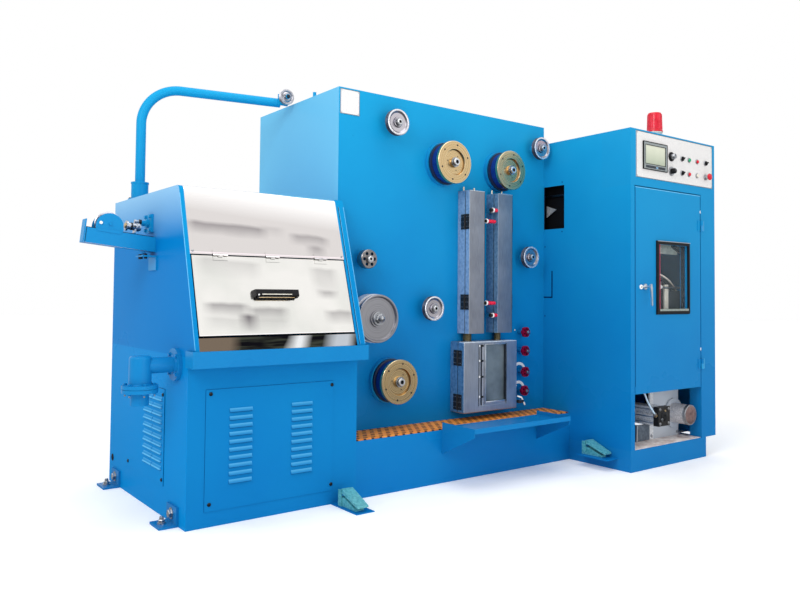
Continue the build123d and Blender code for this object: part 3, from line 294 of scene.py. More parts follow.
def metal(name, shades, rough=(0.25, 0.4), scale=60, stretch=(1, 1, 1), bump=0.05):
    """Worked metal with its grain drawn out along an axis."""
    look = Look(name)
    grain = look.noise(scale, 5, stretch)
    look.finish(look.spread(grain, 0.3, 0.7, 0, 1), shades, rough, 1)
    return look.relief(grain, bump, 0.0004)


def plastic(name, shades, rough=(0.34, 0.5), scale=260, bump=0.12, **constants):
    """Moulded plastic with a fine grain."""
    look = Look(name, **constants)
    grain = look.noise(scale, 3)
    look.finish(look.spread(grain, 0.35, 0.65, 0, 1), shades, rough)
    return look.relief(grain, bump, 0.0003)


def satin(name, shades=SATIN):
    """Satin stainless sheet, brushed upright and slightly clouded."""
    look = Look(name)
    grain = look.noise(34, 6, (12, 12, 0.5))
    cloud = look.spread(look.noise(6, 3), 0.35, 0.65, 0, 1)
    brushed = look.plus(look.spread(grain, 0.3, 0.7, 0, 0.6), look.times(cloud, 0.4))
    look.finish(brushed, shades, SATIN_ROUGH, 1)
    return look.relief(grain, 0.06, 0.0004)


def turned_metal(name, node, shades, rough=(0.22, 0.34), scale=240):
    """Metal turned on a lathe: fine circles round the middle of a wheel."""
    x, y, z, radius = face_centre(node)
    look = Look(name)
    circles = look.node("TexNoise", {"W": look.radius(x, z), "Scale": scale, "Detail": 4},
                        noise_dimensions="1D")
    look.finish(look.spread(circles, 0.3, 0.7, 0, 1), shades, rough, 1)
    return look.relief(circles, 0.02, 0.0002)


def every(look, *names):
    """Gives CAD nodes a material."""
    for name in names:
        mesh = nodes[name].data
        if not mesh.materials:
            mesh.materials.append(look.done())
        for index in range(len(mesh.materials)):
            mesh.materials[index] = look.done()


def span(node):
    """Lowest and highest corner of a CAD node."""
    low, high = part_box(node)
    return low / MM, high / MM


def face_centre(node):
    """The middle of a wheel's front: x, its nearest y, z, and its radius."""
    low, high = span(node)
    return (low.x + high.x) / 2, low.y, (low.z + high.z) / 2, (high.x - low.x) / 2


def slope_y(z):
    """Y of the sloped chamber front at a height."""
    low = span("fixed_covers")[0]
    return low.y + (z - low.z) * SLOPE_RUN


def mirror_steel():
    """Polished stainless: painted blurred reflections, a painted glow on the upper sheet, painted highlights
    at the edges and seam, and a dark foot strip with painted streaked reflections.
    """
    look = Look("mirror_steel")
    foot_top, seam = (corner.z for corner in span("lower_cover"))
    across, height = look.axis("x"), look.axis("z")
    look.finish(look.spread(look.noise(5, 2), 0.35, 0.7, 0, 1), "f0eeea e2e2dd", (0.12, 0.2), 1)
    # Painted reflection: a glow along the top of the upper sheet
    glow = look.spread(look.plus(height, look.times(across, 0.08)), 1.29, 1.385, 0, 1)
    look.finish(glow, "dcd7d5 fefcfb", (0.12, 0.2), 1, look.box(z=(seam, 1500)))
    bend = look.times(look.sum("SUBTRACT", look.noise(6, 2), 0.5), 0.03)
    level = look.plus(height, look.plus(bend, look.times(across, 0.05)))
    for (left, right), (low, high), share in BLURRED:
        rise = look.spread(level, low * MM, (high - 6) * MM, 0, share)
        top = look.spread(level, (high - 9) * MM, (high + 8) * MM, 1, 0)
        wide = look.between(across, left * MM, right * MM, 0.026)
        look.stain("686268", look.times(look.times(rise, top), wide))
    # The foot strip: dark, with painted streaked reflections
    foot = look.box(z=(700, foot_top - 3))
    slant = look.plus(look.plus(across, look.times(height, -0.5)), look.times(look.noise(5, 2), 0.08))
    painted_foot_reflection = look.spread(look.noise(7, 3, (0.6, 1, 6)), 0.4, 0.65, 0, 1)
    look.finish(painted_foot_reflection, "121116 464a3e", (0.1, 0.16), 1, foot)
    for low, high, tint in ((-900, -560, "76685a"), (-300, -222, "e8eaec"), (-110, 10, "bec4cc")):
        look.stain(tint, look.times(foot, look.between(slant, low * MM, high * MM, 0.03)))
    # Painted shade under the lower cover's edge, and painted highlights along that edge and both sides of
    # the seam
    look.stain("0a0a10", z=(foot_top - 9, foot_top - 3))
    look.stain("fefcfc", x=(-372, 362), z=(foot_top - 0.5, foot_top + 4))
    look.stain("fcf4f6", x=(-500, 500), z=(seam - 4, seam + 1))
    look.stain("faeef2", x=(-500, 500), z=(seam + 4, seam + 9))
    return look.relief(look.noise(2.2, 2), 0.04, 0.004)


blue = paint("blue_paint")
# A paler blue for painted highlights along edges
pale = paint("painted_edge_highlight", "5ab0e0 80c8ec")
dim_blue = paint("shadow_blue", "063c70 0a4a84")
deep_blue = paint("shadow_deep", "021846 042054")
dark = metal("dark_steel", "282a2e 46484c", (0.35, 0.5), 200)
zinc = metal("zinc_steel", ZINC, scale=180)
zinc_dark = metal("zinc_dark", "60646a 8c9096", (0.3, 0.45), 180)
alloy = metal("pulley_alloy", STEEL, scale=90)
brass = metal("brass_stud", BRASS, scale=120)
dim_steel = metal("shadow_steel", "424850 60666e", (0.4, 0.5), 120, (1, 1, 0.3))
bright = metal("bright_edge", "d6dade f4f6f8", (0.3, 0.4), 90, (1, 1, 0.3), 0.02)
pink = metal("pink_steel", "ceb0b4 e6ccce", (0.3, 0.4), 90, (0.2, 1, 1))
tube_end = metal("tube_end", "967a7a c4a6a2", (0.35, 0.5), 40)
black = plastic("black_plastic", BLACK, Specular_IOR_Level=MATT)
magenta = plastic("handwheel_plastic", "600228 a00a42", (0.25, 0.4), Specular_IOR_Level=MATT)
magenta_dark = plastic("handwheel_shadow", "300018 480224", (0.5, 0.6), Specular_IOR_Level=MATT)
rubber = plastic("seal_rubber", "0c121e 181e2c", (0.6, 0.75), Specular_IOR_Level=MATT)
void = plastic("shadow_black", "08090c 141418", (0.7, 0.8), Specular_IOR_Level=ENAMEL)
white = plastic("white_plastic", "e8e8e6 f6f6f4", (0.3, 0.4))
cast_grey = plastic("cast_grey", "787c80 a0a4a8", (0.5, 0.65), 120, 0.3)
# The pink line inside the window frame
pink_line = plastic("pink_inner_line", "d0285c e84676", (0.4, 0.5))
cream = plastic("cream_paint", "d6d0c0 ece8dc", (0.35, 0.5), 60, 0.05)
green = plastic("grey_green", "707c78 96a09a", (0.35, 0.5), 60, 0.05)
slate = plastic("plate_slate", "4a5868 687684", (0.45, 0.6), 60, 0.1)
floor_sheet = plastic("floor_sheet", "cebab4 f4eeea", (0.4, 0.6), 28, 0.2)
bezel_grey = plastic("bezel_grey", "7e8688 98a0a0", (0.4, 0.5))
pale_blue = plastic("key_blue", "78b0de aad0ec", (0.3, 0.4))
lens_red = plastic("lens_red", "c41228 de283a", (0.16, 0.24), 40, 0.03)
lens_green = plastic("lens_green", "188c60 34aa7a", (0.16, 0.24), 40, 0.03)
beacon_red = plastic("beacon_lens", "ce0e24 e21e32", (0.14, 0.22), 30, 0.02)
beacon_light = plastic("beacon_rib", "de1e38 ee3e56", (0.14, 0.22), 30, 0.02)
red = plastic("red_grip", "c81424 e42836", (0.2, 0.35), Coat_Weight=0.4)
display = Look("display_glass")
fade = display.times(display.spread(display.axis("z"), 1.70, 1.84, 0, 1), 0.8)
display.finish(display.plus(fade, display.times(display.noise(14), 0.25)), "a0ac96 e2e4d0", (0.1, 0.18))

every(blue, "housing_top", "centre_base", "spooler_left_wall", "spooler_back_wall", "bent_pipe")
every(paint("front_blue", BLUE_FRONT), "splash_lip", "foot_brackets", "tray", "spooler_plinth",
      "spooler_right_wall", "spooler_head", "spooler_door", "drain_elbow")
every(mirror_steel(), "fixed_covers", "lower_cover")
every(black, "cover_handle", "window_frame")
every(alloy, "arm_pulley", "entry_pulley", "spool_spindle", "drawing_cones")
every(magenta, *(f"handwheel_{number}" for number in range(1, 5)))
every(plastic("panel_sheet", CREAM, (0.4, 0.55), 300, 0.06), "control_panel")
every(bright, "door_handle")
every(plastic("pedal_teal", TEAL, (0.3, 0.45), 90, 0.6, Coat_Weight=0.3), "foot_pedal_1", "foot_pedal_2")
every(turned_metal("roller_metal", "drilled_roller", "787474 aaa6a6", (0.3, 0.4)), "drilled_roller")
every(turned_metal("spool_metal", "take_up_spool", "969698 bebcba", (0.3, 0.4), 300), "take_up_spool")

# Drawing cabinet: painted light on its left faces. The base's left face is painted a flat lighter blue for
# the light of its own side, the cheek's left face a flat darker blue for its shade with a painted reflection
# of the sky towards its top, and the centre box's left face a pale painted sheen
base_left, base_front = span("drawing_base")[0].xy
every(paint("base_blue", BLUE_FRONT, gloss=SIDE_ENAMEL).stain(LEFT_BLUE, x=(base_left - 1, base_left + 1)),
      "drawing_base")
look = paint("cheek_blue", gloss=SIDE_ENAMEL).stain("0474ba", x=(-420, -399.5))
# Painted reflection of the sky, paler towards the cheek's top
painted_sky_sheen = look.spread(look.axis("z"), 1.2, 1.42, 0, 0.9)
every(look.stain("8cbee2", painted_sky_sheen, x=(-420, -399.5)), "housing_cheeks")
every(paint("centre_blue").stain("66b8de", x=(420, 425.6)), "centre_box")

# The louvres' upper edges get a painted highlight, and the side panel the flat blue painted for its lit side
look = paint("louvre_blue", BLUE_FRONT, gloss=SIDE_ENAMEL)
raised = look.sum("MAXIMUM", look.less(look.axis("y"), (base_front - 3.6) * MM),
                  look.less(look.axis("x"), (base_left - 3.6) * MM))
above_foot = look.sum("SUBTRACT", look.axis("z"), LOUVRE_FOOT * MM)
rise = look.sum("FRACT", look.sum("DIVIDE", above_foot, LOUVRE_PITCH * MM))
lit = look.times(raised, look.spread(rise, 0.1, 0.55, 0.12, 0.85))
look.stain(LEFT_BLUE, x=(base_left - 20, base_left - 1)).stain("60b8e4", lit)
every(look, "access_panels")
look = plastic("plate_finish", CREAM, (0.4, 0.55), 300, 0.06)
every(look.lay("f0f2f4 fcfcfc", (0.4, 0.5), x=(1500, 1900)), "face_plates")

# Annealer and tank
left_edge, right_edge = (corner.x for corner in span("anneal_channels"))
stud_low = span("anneal_cover_left")[1].z
# Painted light on the left cover's and channel's left faces, painted shade on the right cover's and
# channel's left faces
look = satin("anneal_left_steel")
look.lay(SIDE_LIGHT, SATIN_ROUGH, 0.4, 60, x=(left_edge - 2, left_edge + 1.5))
every(look.lay(BLACK, (0.6, 0.7), x=(left_edge - 40, left_edge - 0.2)), "anneal_cover_left")
look = satin("anneal_right_steel")
look.lay(SIDE_DIM, SATIN_ROUGH, 0.4, 60, x=(right_edge - 115, right_edge - 112.5))
every(look.lay(BLACK, (0.6, 0.7), x=(right_edge + 0.2, right_edge + 40)), "anneal_cover_right")
look = satin("anneal_channel_steel")
look.lay(SIDE_LIGHT, SATIN_ROUGH, 0.4, 60, x=(left_edge - 2, left_edge + 1))
look.lay(SIDE_DIM, SATIN_ROUGH, 0.4, 60, x=(right_edge - 115, right_edge - 113))
every(look.lay("e2d6bc f6f0e0", (0.25, 0.4), 0.6, z=(stud_low + 0.5, stud_low + 100)), "anneal_channels")

tank_left = span("cooling_tank")[0].x
tank_face, tank_top = span("tank_door")[0].y, span("tank_door")[1].z
pane = (tank_left + 163, tank_left + 322)
# The tank's left faces are painted in SIDE_TANK, a bluish painted shade
look = satin("tank_steel", TANK_SATIN)
look.lay("524a32 706648", (0.4, 0.6), 0.6, z=(tank_top + 0.5, tank_top + 100))
every(look.lay(SIDE_TANK, SATIN_ROUGH, 0.2, 60, x=(tank_left - 2, tank_left + 1)), "cooling_tank")
look = satin("tank_door_steel", TANK_SATIN)
look.lay(SIDE_TANK, SATIN_ROUGH, 0.2, 60, x=(tank_left - 2, tank_left + 1.5))
look.lay(BLACK, (0.6, 0.7), x=(tank_left - 40, tank_left - 0.2))
look.lay("586670 74828a", (0.3, 0.4), 0.3, 9, x=pane, y=(tank_face + 18, tank_face + 22))
look.lay("707a84 868e96", (0.4, 0.5), 0.3, x=(pane[1] - 1, pane[1] + 2), y=(tank_face + 1, tank_face + 20))
# A painted highlight along the door's top edge
look.lay("d6dce2 eef2f6", (0.3, 0.4), 0.5, y=(tank_face - 2, tank_face + 40), z=(tank_top - 4, tank_top + 1))
every(look, "tank_door")

# Latches: black bodies with red grips, and the darker ones of the tank
look = metal("latch_steel", ZINC, scale=150)
look.lay(BLACK, (0.4, 0.5), y=(-420, -376.5), z=(800, 1600))
for across, heights in (((1349, 1412), (919, 1380)), ((1392, 1428), (850, 1445))):
    for z in heights:
        look.lay("ce082c e81a3e", (0.2, 0.35), x=across, y=(-420, -376.5), z=(z - 20, z + 20))
every(look.lay("282c34 3e4248", (0.35, 0.5), 0.5, y=(-420, -392), z=(300, 500)), "cover_latches")
every(metal("shaft_steel", ZINC, scale=150).lay(BLUE, (0.26, 0.36), 0, 3, y=(-341, -280)), "wheel_mounts")

# Wheels: what lies behind the flange is laid by its distance from the wheel's front
for number in (1, 2, 3):
    node = f"contact_wheel_{number}"
    x, y, z, radius = face_centre(node)
    look = turned_metal(f"contact_{number}_metal", node, BRASS)
    front = look.box(y=(y - 1, y + 19))
    for share, half, tint in PAINTED_RINGS:
        middle = radius * share
        ring_band = look.between(look.radius(x, z), (middle - half) * MM, (middle + half) * MM, 0.0006)
        look.stain(tint, look.times(look.times(ring_band, front), 0.75))
    for low, high, shades, rough in BEHIND:
        look.lay(shades, rough, y=(y + low, y + high))
    hub = look.less(look.radius(x, z), 27.5 * MM)
    every(look.lay(ZINC, (0.2, 0.35), 1, mask=hub, y=(y - 1, y + 15)), node)
for number in (1, 2, 3, 4):
    node = f"guide_pulley_{number}"
    y = face_centre(node)[1]
    look = turned_metal(f"guide_{number}_metal", node, STEEL)
    # Painted shade on the pulley's side behind its face
    every(look.lay("2c3446 485266", (0.35, 0.5), 0.5, y=(y + 7, y + 60)), node)
y = face_centre("capstan")[1]
look = turned_metal("capstan_metal", "capstan", "96969c babac0", (0.3, 0.42))
every(look.lay("bcbec4 d4d6dc", (0.3, 0.4), 0.3, y=(y + 36, y + 100)), "capstan")
look = plastic("hinge_black", BLACK, (0.4, 0.55))
every(look.lay(BLUE, (0.26, 0.36), 0, 3, x=(2400, 2800)), "door_hinges")

# The steel tube, cylinder, cap and fittings of the low opening
look = paint("drive_grey", "bac2cc ced4dc", (0.4, 0.5), FULL_GLOSS)
tube = look.less(look.radius(2503, 259), 61 * MM)
look.lay("bcbabe dedcde", (0.28, 0.38), 0.4, mask=tube, y=(-930, -801))
look.lay("a88282 c4a09e", (0.35, 0.5), 0.6, mask=tube, y=(-930, -924.5))
look.lay("ced2d8 e8ecf0", (0.25, 0.35), 0.15, x=(2190, 2310), y=(-881, -596))
look.lay(BLACK, (0.35, 0.5), x=(2196.5, 2310), y=(-916, -880.5))
look.lay(ZINC, (0.25, 0.4), 1, x=(2150, 2196.5), y=(-916, -880.5))
every(look.lay(BRASS, (0.25, 0.4), 1, x=(1900, 1960)), "lift_drive")
look = paint("entry_blue")
every(look.lay(ZINC, (0.22, 0.35), 1, x=(-524.5, -457), y=(-64, -16), z=(1232, 1292)), "entry_arm")
look = paint("pedal_blue").lay(TEAL, (0.3, 0.45), 0, 90, x=(285, 352), y=(-760, -540), z=(4.4, 90))
every(look.lay(TEAL, (0.3, 0.45), 0, 90, x=(1825, 1890), z=(66.4, 160)), "pedal_plates")

# The mat is pierced by rows of diamonds
look = Look("orange_mat").grained("e28224 f4a042", (0.5, 0.7), scale=40)
steps = []
for sign in (1, -1):
    slant = look.plus(look.axis("x"), look.times(look.axis("y"), 0.6 * sign))
    cell = look.sum("FRACT", look.sum("DIVIDE", look.plus(slant, 20), MAT_PITCH * MM))
    steps.append(look.between(cell, 0.22, 0.74, 0.04))
every(look.lay("3c2212 56321a", (0.7, 0.85), mask=look.times(*steps)), "ledge_mat")

look = plastic("beacon_grey", "d6d0d0 e6e2e2", (0.4, 0.5), Coat_Weight=0.5)
every(look.lay("e2143e f03254", (0.15, 0.25), 0, 30, z=(1942, 2100)), "beacon")
hose_pale = plastic("hose", "aac8e1 d4e6f2", (0.25, 0.35))
every(hose_pale, "air_hose")
hose.data.materials.append(hose_pale.done())
glass = Look("window_glass", Alpha=0.05)
every(glass.finish(glass.noise(3), "aabec8 becdd4", (0.03, 0.06)), "window_glass")


# Geometry helpers. Pieces are made in place, and each rides on its body
FRONT, LEFT, RIGHT = (0, -1, 0), (-1, 0, 0), (1, 0, 0)
UP, DOWN = (0, 0, 1), (0, 0, -1)
SHARP_ANGLE = math.radians(32)
pieces = []


def grown(ends, by):
    return ends[0] - by, ends[1] + by


def rectangle(x, y, z):
    """Corners of an upright rectangle; the axis given as one number is the one it faces."""
    if isinstance(x, tuple):
        return [(x[0], y, z[0]), (x[1], y, z[0]), (x[1], y, z[1]), (x[0], y, z[1])]
    return [(x, y[0], z[0]), (x, y[1], z[0]), (x, y[1], z[1]), (x, y[0], z[1])]


def round_about(count, radius, x, z, start=0):
    """Places spread round a centre."""
    for step in range(count):
        angle = math.tau * step / count + start
        yield x + radius * math.cos(angle), z + radius * math.sin(angle)


class Piece:
    """One object under construction."""

    def __init__(self, name, body="frame", slot="turned_steel", stands_for=None):
        self.name, self.body, self.slot, self.stands_for = name, body, slot, stands_for
        self.made = bmesh.new()
        self.looks = []
        pieces.append(self)

    def tint(self, look):
        if look not in self.looks:
            self.looks.append(look)
        return self.looks.index(look)

    def loop(self, outline, push=(0, 0, 0)):
        return [self.made.verts.new((Vector(point) + Vector(push)) * MM) for point in outline]

    def join(self, loops, closed, index):
        """Faces between loops of corners that follow each other."""
        for low, high in zip(loops, loops[1:] + loops[:1] * closed):
            for step in range(max(len(low), len(high))):
                corners = (low[step % len(low)], low[(step + 1) % len(low)],
                           high[(step + 1) % len(high)], high[step % len(high)])
                self.made.faces.new(tuple(dict.fromkeys(corners))).material_index = index

    def turned(self, profile, at, axis, look, steps=32, turn=0, ring=False):
        """A body turned round an axis; the profile is (radius, distance along it), closed for a ring."""
        index = self.tint(look)
        swing = Vector(axis).to_track_quat("Z", "Y")
        loops = []
        for radius, along in profile:
            around = round_about(steps, radius, 0, 0, turn) if radius else [(0, 0)]
            loops.append(self.loop([swing @ Vector((*point, along)) for point in around], at))
        self.join(loops, ring, index)
        for end in (loops[0], loops[-1]):
            if len(end) > 1 and not ring:
                self.made.faces.new(end).material_index = index

    def block(self, x, y, z, look, bevel=1, turn=Matrix.Identity(3)):
        """A box between two values on each axis, with softened edges; turn is a matrix about its middle."""
        index = self.tint(look)
        middle = Vector([sum(ends) / 2 for ends in (x, y, z)]) * MM
        size = Matrix.Diagonal([*((ends[1] - ends[0]) * MM for ends in (x, y, z)), 1])
        before = set(self.made.faces)
        cube = bmesh.ops.create_cube(self.made, size=1,
                                     matrix=Matrix.Translation(middle) @ turn.to_4x4() @ size)
        if bevel:
            edges = list({edge for corner in cube["verts"] for edge in corner.link_edges})
            bmesh.ops.bevel(self.made, geom=edges, offset=bevel * MM, segments=2, profile=0.5,
                            affect="EDGES", clamp_overlap=True)
        for face in set(self.made.faces) - before:
            face.material_index = index

    def plate(self, outline, depth, look):
        """A prism of an outline of points, pushed along depth."""
        index = self.tint(look)
        near, far = self.loop(outline), self.loop(outline, depth)
        self.join([near, far], False, index)
        for end in (near, far[::-1]):
            self.made.faces.new(end).material_index = index

    def sheet(self, x, y, z, depth, look):
        self.plate(rectangle(x, y, z), depth, look)

    def border(self, outer, inner, depth, look):
        """A frame between two outlines with as many points, pushed along depth."""
        loops = [self.loop(outer), self.loop(inner), self.loop(inner, depth), self.loop(outer, depth)]
        self.join(loops, True, self.tint(look))

    def rim(self, x, y, z, width, depth, look):
        """A rectangular frame, whose width lies inside its outline."""
        inner = [grown(ends, -width) if isinstance(ends, tuple) else ends for ends in (x, y, z)]
        self.border(rectangle(x, y, z), rectangle(*inner), depth, look)

    def strip(self, start, end, width, look, thick=0.5, out=FRONT):
        """A straight strip from start to end; width lies across it, thick along out."""
        start, end, out = Vector(start), Vector(end), Vector(out).normalized()
        side = (end - start).cross(out).normalized() * width / 2
        self.plate([start - side, start + side, end + side, end - side], out * thick, look)

    def line(self, x, y, z, width, look, thick=0.5, out=FRONT):
        """A strip along the one axis whose two ends are given."""
        ends = ([value[end] if isinstance(value, tuple) else value for value in (x, y, z)] for end in (0, 1))
        self.strip(*ends, width, look, thick, out)

    def bolt(self, at, axis, size, look):
        """A hexagon bolt head on a washer; size is the head's radius."""
        foot, wide = size * 0.22, size * 1.35
        top = foot + size * 0.75
        self.turned([(0, 0), (wide, 0), (wide, foot), (0, foot)], at, axis, look, 24)
        self.turned([(0, foot), (size, foot), (size, foot + size * 0.6), (size * 0.86, top), (0, top)],
                    at, axis, look, 6, 0.3)

    def screw(self, at, axis, size, look):
        """A round screw head with a sunk socket."""
        shares = ((0, 0), (1, 0), (1, 0.3), (0.8, 0.5), (0.42, 0.55), (0.38, 0.3), (0, 0.3))
        self.turned([(radius * size, along * size) for radius, along in shares], at, axis, look, 20)

    def place(self):
        bmesh.ops.recalc_face_normals(self.made, faces=self.made.faces)
        mesh = bpy.data.meshes.new(self.name)
        self.made.to_mesh(mesh)
        self.made.free()
        for look in self.looks:
            mesh.materials.append(look.done())
        mesh.polygons.foreach_set("use_smooth", [True] * len(mesh.polygons))
        mesh.set_sharp_from_angle(angle=SHARP_ANGLE)
        placed = bpy.data.objects.new(self.name, mesh)
        bpy.context.scene.collection.objects.link(placed)
        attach(placed, self.body)
        if self.stands_for:
            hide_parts(self.stands_for)


# Wheels. The contact wheels' flange lies behind the hub's front, and its dish is sunk further
FLANGE_BACK = 4
DISH_DEPTH = 12
SHAFT_OUT = 12


def shaft_end(name, node, radius):
    """The end of a wheel's shaft: a collar with a sunk black socket."""
    x, y, z, _ = face_centre(node)
    at = (x, y - SHAFT_OUT, z)
    bore = radius * 0.52
    piece = Piece(name)
    collar = [(radius, -8), (radius, 1), (radius - 1.5, 2.6), (bore, 2.6), (bore, 0.4)]
    piece.turned(collar, at, FRONT, bright)
    piece.turned([(bore, 0.3), (bore, 1.2), (0, 1.2)], at, FRONT, void, 20)


def dress_contact_wheel(number):
    """Screws round the brass flange, and the shaft's end with its socket."""
    node = f"contact_wheel_{number}"
    x, y, z, radius = face_centre(node)
    face = y + FLANGE_BACK
    piece = Piece(f"contact_{number}_screws", f"contact_{number}")
    for px, pz in round_about(6, radius * 0.82, x, z, 0.35):
        piece.turned([(5, -0.6), (5, 0.6), (4, 1.2), (0, 1.2)], (px, face, pz), FRONT, dark, 16)
    for px, pz in round_about(3, radius * 0.38, x, z, 0.9):
        piece.turned([(3.4, -0.6), (3.4, 0.4), (0, 0.4)], (px, face + DISH_DEPTH, pz), FRONT, dark, 12)
    shaft_end(f"contact_{number}_nose", node, 19.5)


def dress_guide_pulley(number):
    """The pulley's dish between hub and rim, with painted shade on its wall and by the hub and a painted
    highlight on the rim, and its shaft's end.
    """
    node = f"guide_pulley_{number}"
    x, y, z, radius = face_centre(node)
    look = turned_metal(f"guide_{number}_cone_metal", node, "bebac2 d8d4da", (0.24, 0.34))
    # Painted shade on the dish's wall and at the hub's foot, and a painted highlight on the rim
    wall = look.between(look.radius(x, z), (radius - 17) * MM, (radius - 11) * MM, 0.0015)
    look.stain("8c8a96", look.times(wall, 0.6))
    look.stain("70707e", look.between(look.radius(x, z), 26 * MM, 28.5 * MM, 0.0006))
    rim = look.sum("GREATER_THAN", look.radius(x, z), (radius - 9.5) * MM)
    look.lay("e0e0e6 f6f6fa", (0.2, 0.3), 0.7, mask=rim)
    piece = Piece(f"guide_{number}_cone", f"pulley_{number}", "pulley_alloy")
    edge = ((19, -8.2), (11, -1.2), (9, -0.1), (3, -0.1), (0.8, -1.2), (0.8, -3), (10, -4), (18, -11))
    piece.turned([(21, -9), (21, -1.5), (24, -0.8), (26, -1.6), (28, -8.6),
                  *((radius - inset, along) for inset, along in edge), (21, -11)],
                 (x, y, z), FRONT, look, 48, ring=True)
    shaft_end(f"guide_{number}_nose", node, 15)


def dress_capstan():
    """A flat ring, a hexagon nut and the rounded end of the shaft."""
    x, y, z, _ = face_centre("capstan")
    at = (x, y - 8, z)
    piece = Piece("capstan_nut")
    piece.turned([(12, -9), (33, -9), (34, -8), (34, -5), (33, -4), (12, -4)], at, FRONT, zinc, 40)
    piece.turned([(12, -4), (24, -4), (24, 8), (21, 10), (12, 10)], at, FRONT, zinc, 6, 0.2)
    piece.turned([(15, 8), (15, 20), (13.5, 25), (9, 28.5), (4, 30), (0, 30.3)], at, FRONT, zinc, 28)


def dress_handwheel(number):
    """A bright hub cap, raised ribs, and dark discs of painted shade in the hollows between the lobes."""
    x, y, z, _ = face_centre(f"handwheel_{number}")
    piece = Piece(f"valve_{number}_ribs", f"valve_{number}", "red_plastic")
    for step, (px, pz) in enumerate(round_about(6, 18, x, z)):
        swing = Matrix.Rotation(-math.tau * step / 6, 3, "Y")
        piece.block((px - 8, px + 8), (y + 2, y + 14), (pz - 2.2, pz + 2.2), magenta, 1, swing)
    for px, pz in round_about(6, 18, x, z, math.tau / 12):
        piece.turned([(5.2, -2.4), (5.2, 0.5), (0, 0.5)], (px, y, pz), FRONT, magenta_dark, 12)
    piece.turned([(5.6, 0.2), (11.5, 0.2), (12.3, -1), (12.3, -4), (5.6, -4)], (x, y, z), FRONT, magenta, 24)
    piece = Piece(f"valve_{number}_nut")
    cap = [(4.5, 0), (9.5, 0), (9.5, 2.5), (8, 5.5), (4.5, 6.5), (0, 7)]
    piece.turned(cap, (x, y - 6.5, z), FRONT, zinc, 20)


# Drawing cabinet
SLOPE_ANGLE = math.atan(SLOPE_RUN)
SLOPE_OUT = Vector((0, -math.cos(SLOPE_ANGLE), math.sin(SLOPE_ANGLE)))
GRIP_DROP = Vector((0, 0, 15))
# The panels' ranges: along and up
FRONT_PANEL = ((-323, 285), (64, 564))
SIDE_PANEL = ((-238, 270), (130, 545))
# The louvres' foot, width and columns, and the mouths' two layers: how far out, how near, inset, drop
FRONT_LOUVRES = (LOUVRE_FOOT, 103, (-219, 72))
SIDE_LOUVRES = (196, 112, (-214, -94))
MOUTHS = ((10.4, 3.2, 3, 0.8), (3.5, 2.8, 1, 3.4))


def on_slope(x, z, out=0):
    """A point on the sloped front, pushed outward."""
    return Vector((x, slope_y(z), z)) + SLOPE_OUT * out


def dress_slope():
    """Screws at the seam's ends, a dark line and painted highlight strips along the cheeks, and the handle's
    black grip with a painted highlight line and a painted highlight along its lower edge.
    """
    low, high = span("fixed_covers")
    cheek_right = span("housing_cheeks")[1].x
    seam = span("lower_cover")[1].z
    piece = Piece("seam_screws")
    for x in (low.x + 12, high.x - 12):
        piece.screw(on_slope(x, seam + 12, 0.2), SLOPE_OUT, 5, zinc)
    piece = Piece("cheek_groove_and_highlights", slot="blue_paint")
    # A dark line, and painted highlights along the cheeks' edges
    for x, width, thick, look in ((high.x + 14, 3.2, 0.3, rubber), (high.x + 17, 1.6, 0.4, pale),
                                  (low.x - 18.6, 2.4, 0.3, pale), (cheek_right - 1.4, 2.4, 0.3, pale)):
        piece.strip(on_slope(x, low.z + 6), on_slope(x, high.z - 36), width, look, thick, SLOPE_OUT)
    low, high = span("cover_handle")
    middle = (low.z + high.z) / 2 - 5
    piece = Piece("handle_grip_and_highlights", "drawing_cover", "brass_wheel")
    piece.strip(on_slope(low.x + 12, middle, 13) - GRIP_DROP, on_slope(high.x - 12, middle, 13) - GRIP_DROP,
                22, black, 1.6, (0, 0.3, -1))
    # A painted highlight line across the grip, and a painted highlight along its lower edge
    piece.line((low.x + 34, high.x - 44), low.y - 0.2, middle + 2, 3.4, cream)
    piece.line((low.x + 22, high.x - 30), low.y + 3, low.z + 1, 2.4, brass, 0.6)
    piece.turned([(3.6, 0), (3.6, 1), (2, 2), (0, 2)], (low.x + 20, low.y + 1, middle), FRONT, white, 14)


def dress_panels():
    """Screws and joints round the louvred panels, and the louvres' shadowed mouths."""
    left, front = span("drawing_base")[0].xy
    piece = Piece("panel_screws")
    (x0, x1), (z0, z1) = FRONT_PANEL
    for x, z in product((x0 + 20, x1 - 8), (z0 + 29, z1 - 18)):
        piece.screw((x, front - 3, z), FRONT, 8, dark)
    (y0, y1), (z0, z1) = SIDE_PANEL
    for y, z in product((y0 + 16, y1 - 26), (z0 + 24, z1 - 25)):
        piece.screw((left - 3, y, z), LEFT, 8, dark)
    piece = Piece("panel_joints", slot="blue_paint")
    along, up = (grown(ends, 1) for ends in FRONT_PANEL)
    piece.rim(along, front, up, 1, (0, -0.6, 0), dim_blue)
    along, up = (grown(ends, 1.2) for ends in SIDE_PANEL)
    piece.rim(left, along, up, 1.2, (-0.8, 0, 0), deep_blue)
    for row, (far, near, inset, drop) in product(range(10), MOUTHS):
        for foot, width, columns in (FRONT_LOUVRES, SIDE_LOUVRES):
            z = foot + row * LOUVRE_PITCH
            for column in columns:
                along, up = (column + inset, column + width - inset), (z - drop, z - 0.1)
                if columns is FRONT_LOUVRES[2]:
                    piece.block(along, (front - far, front - near), up, dim_blue, 0)
                else:
                    piece.block((left - far, left - near), along, up, dim_blue, 0)
    piece = Piece("cable_bush", slot="black_plastic")
    piece.turned([(17, 0), (17, 2), (12, 3), (10.5, 1), (0, 1)], (left, 507, 126), LEFT, rubber, 28)


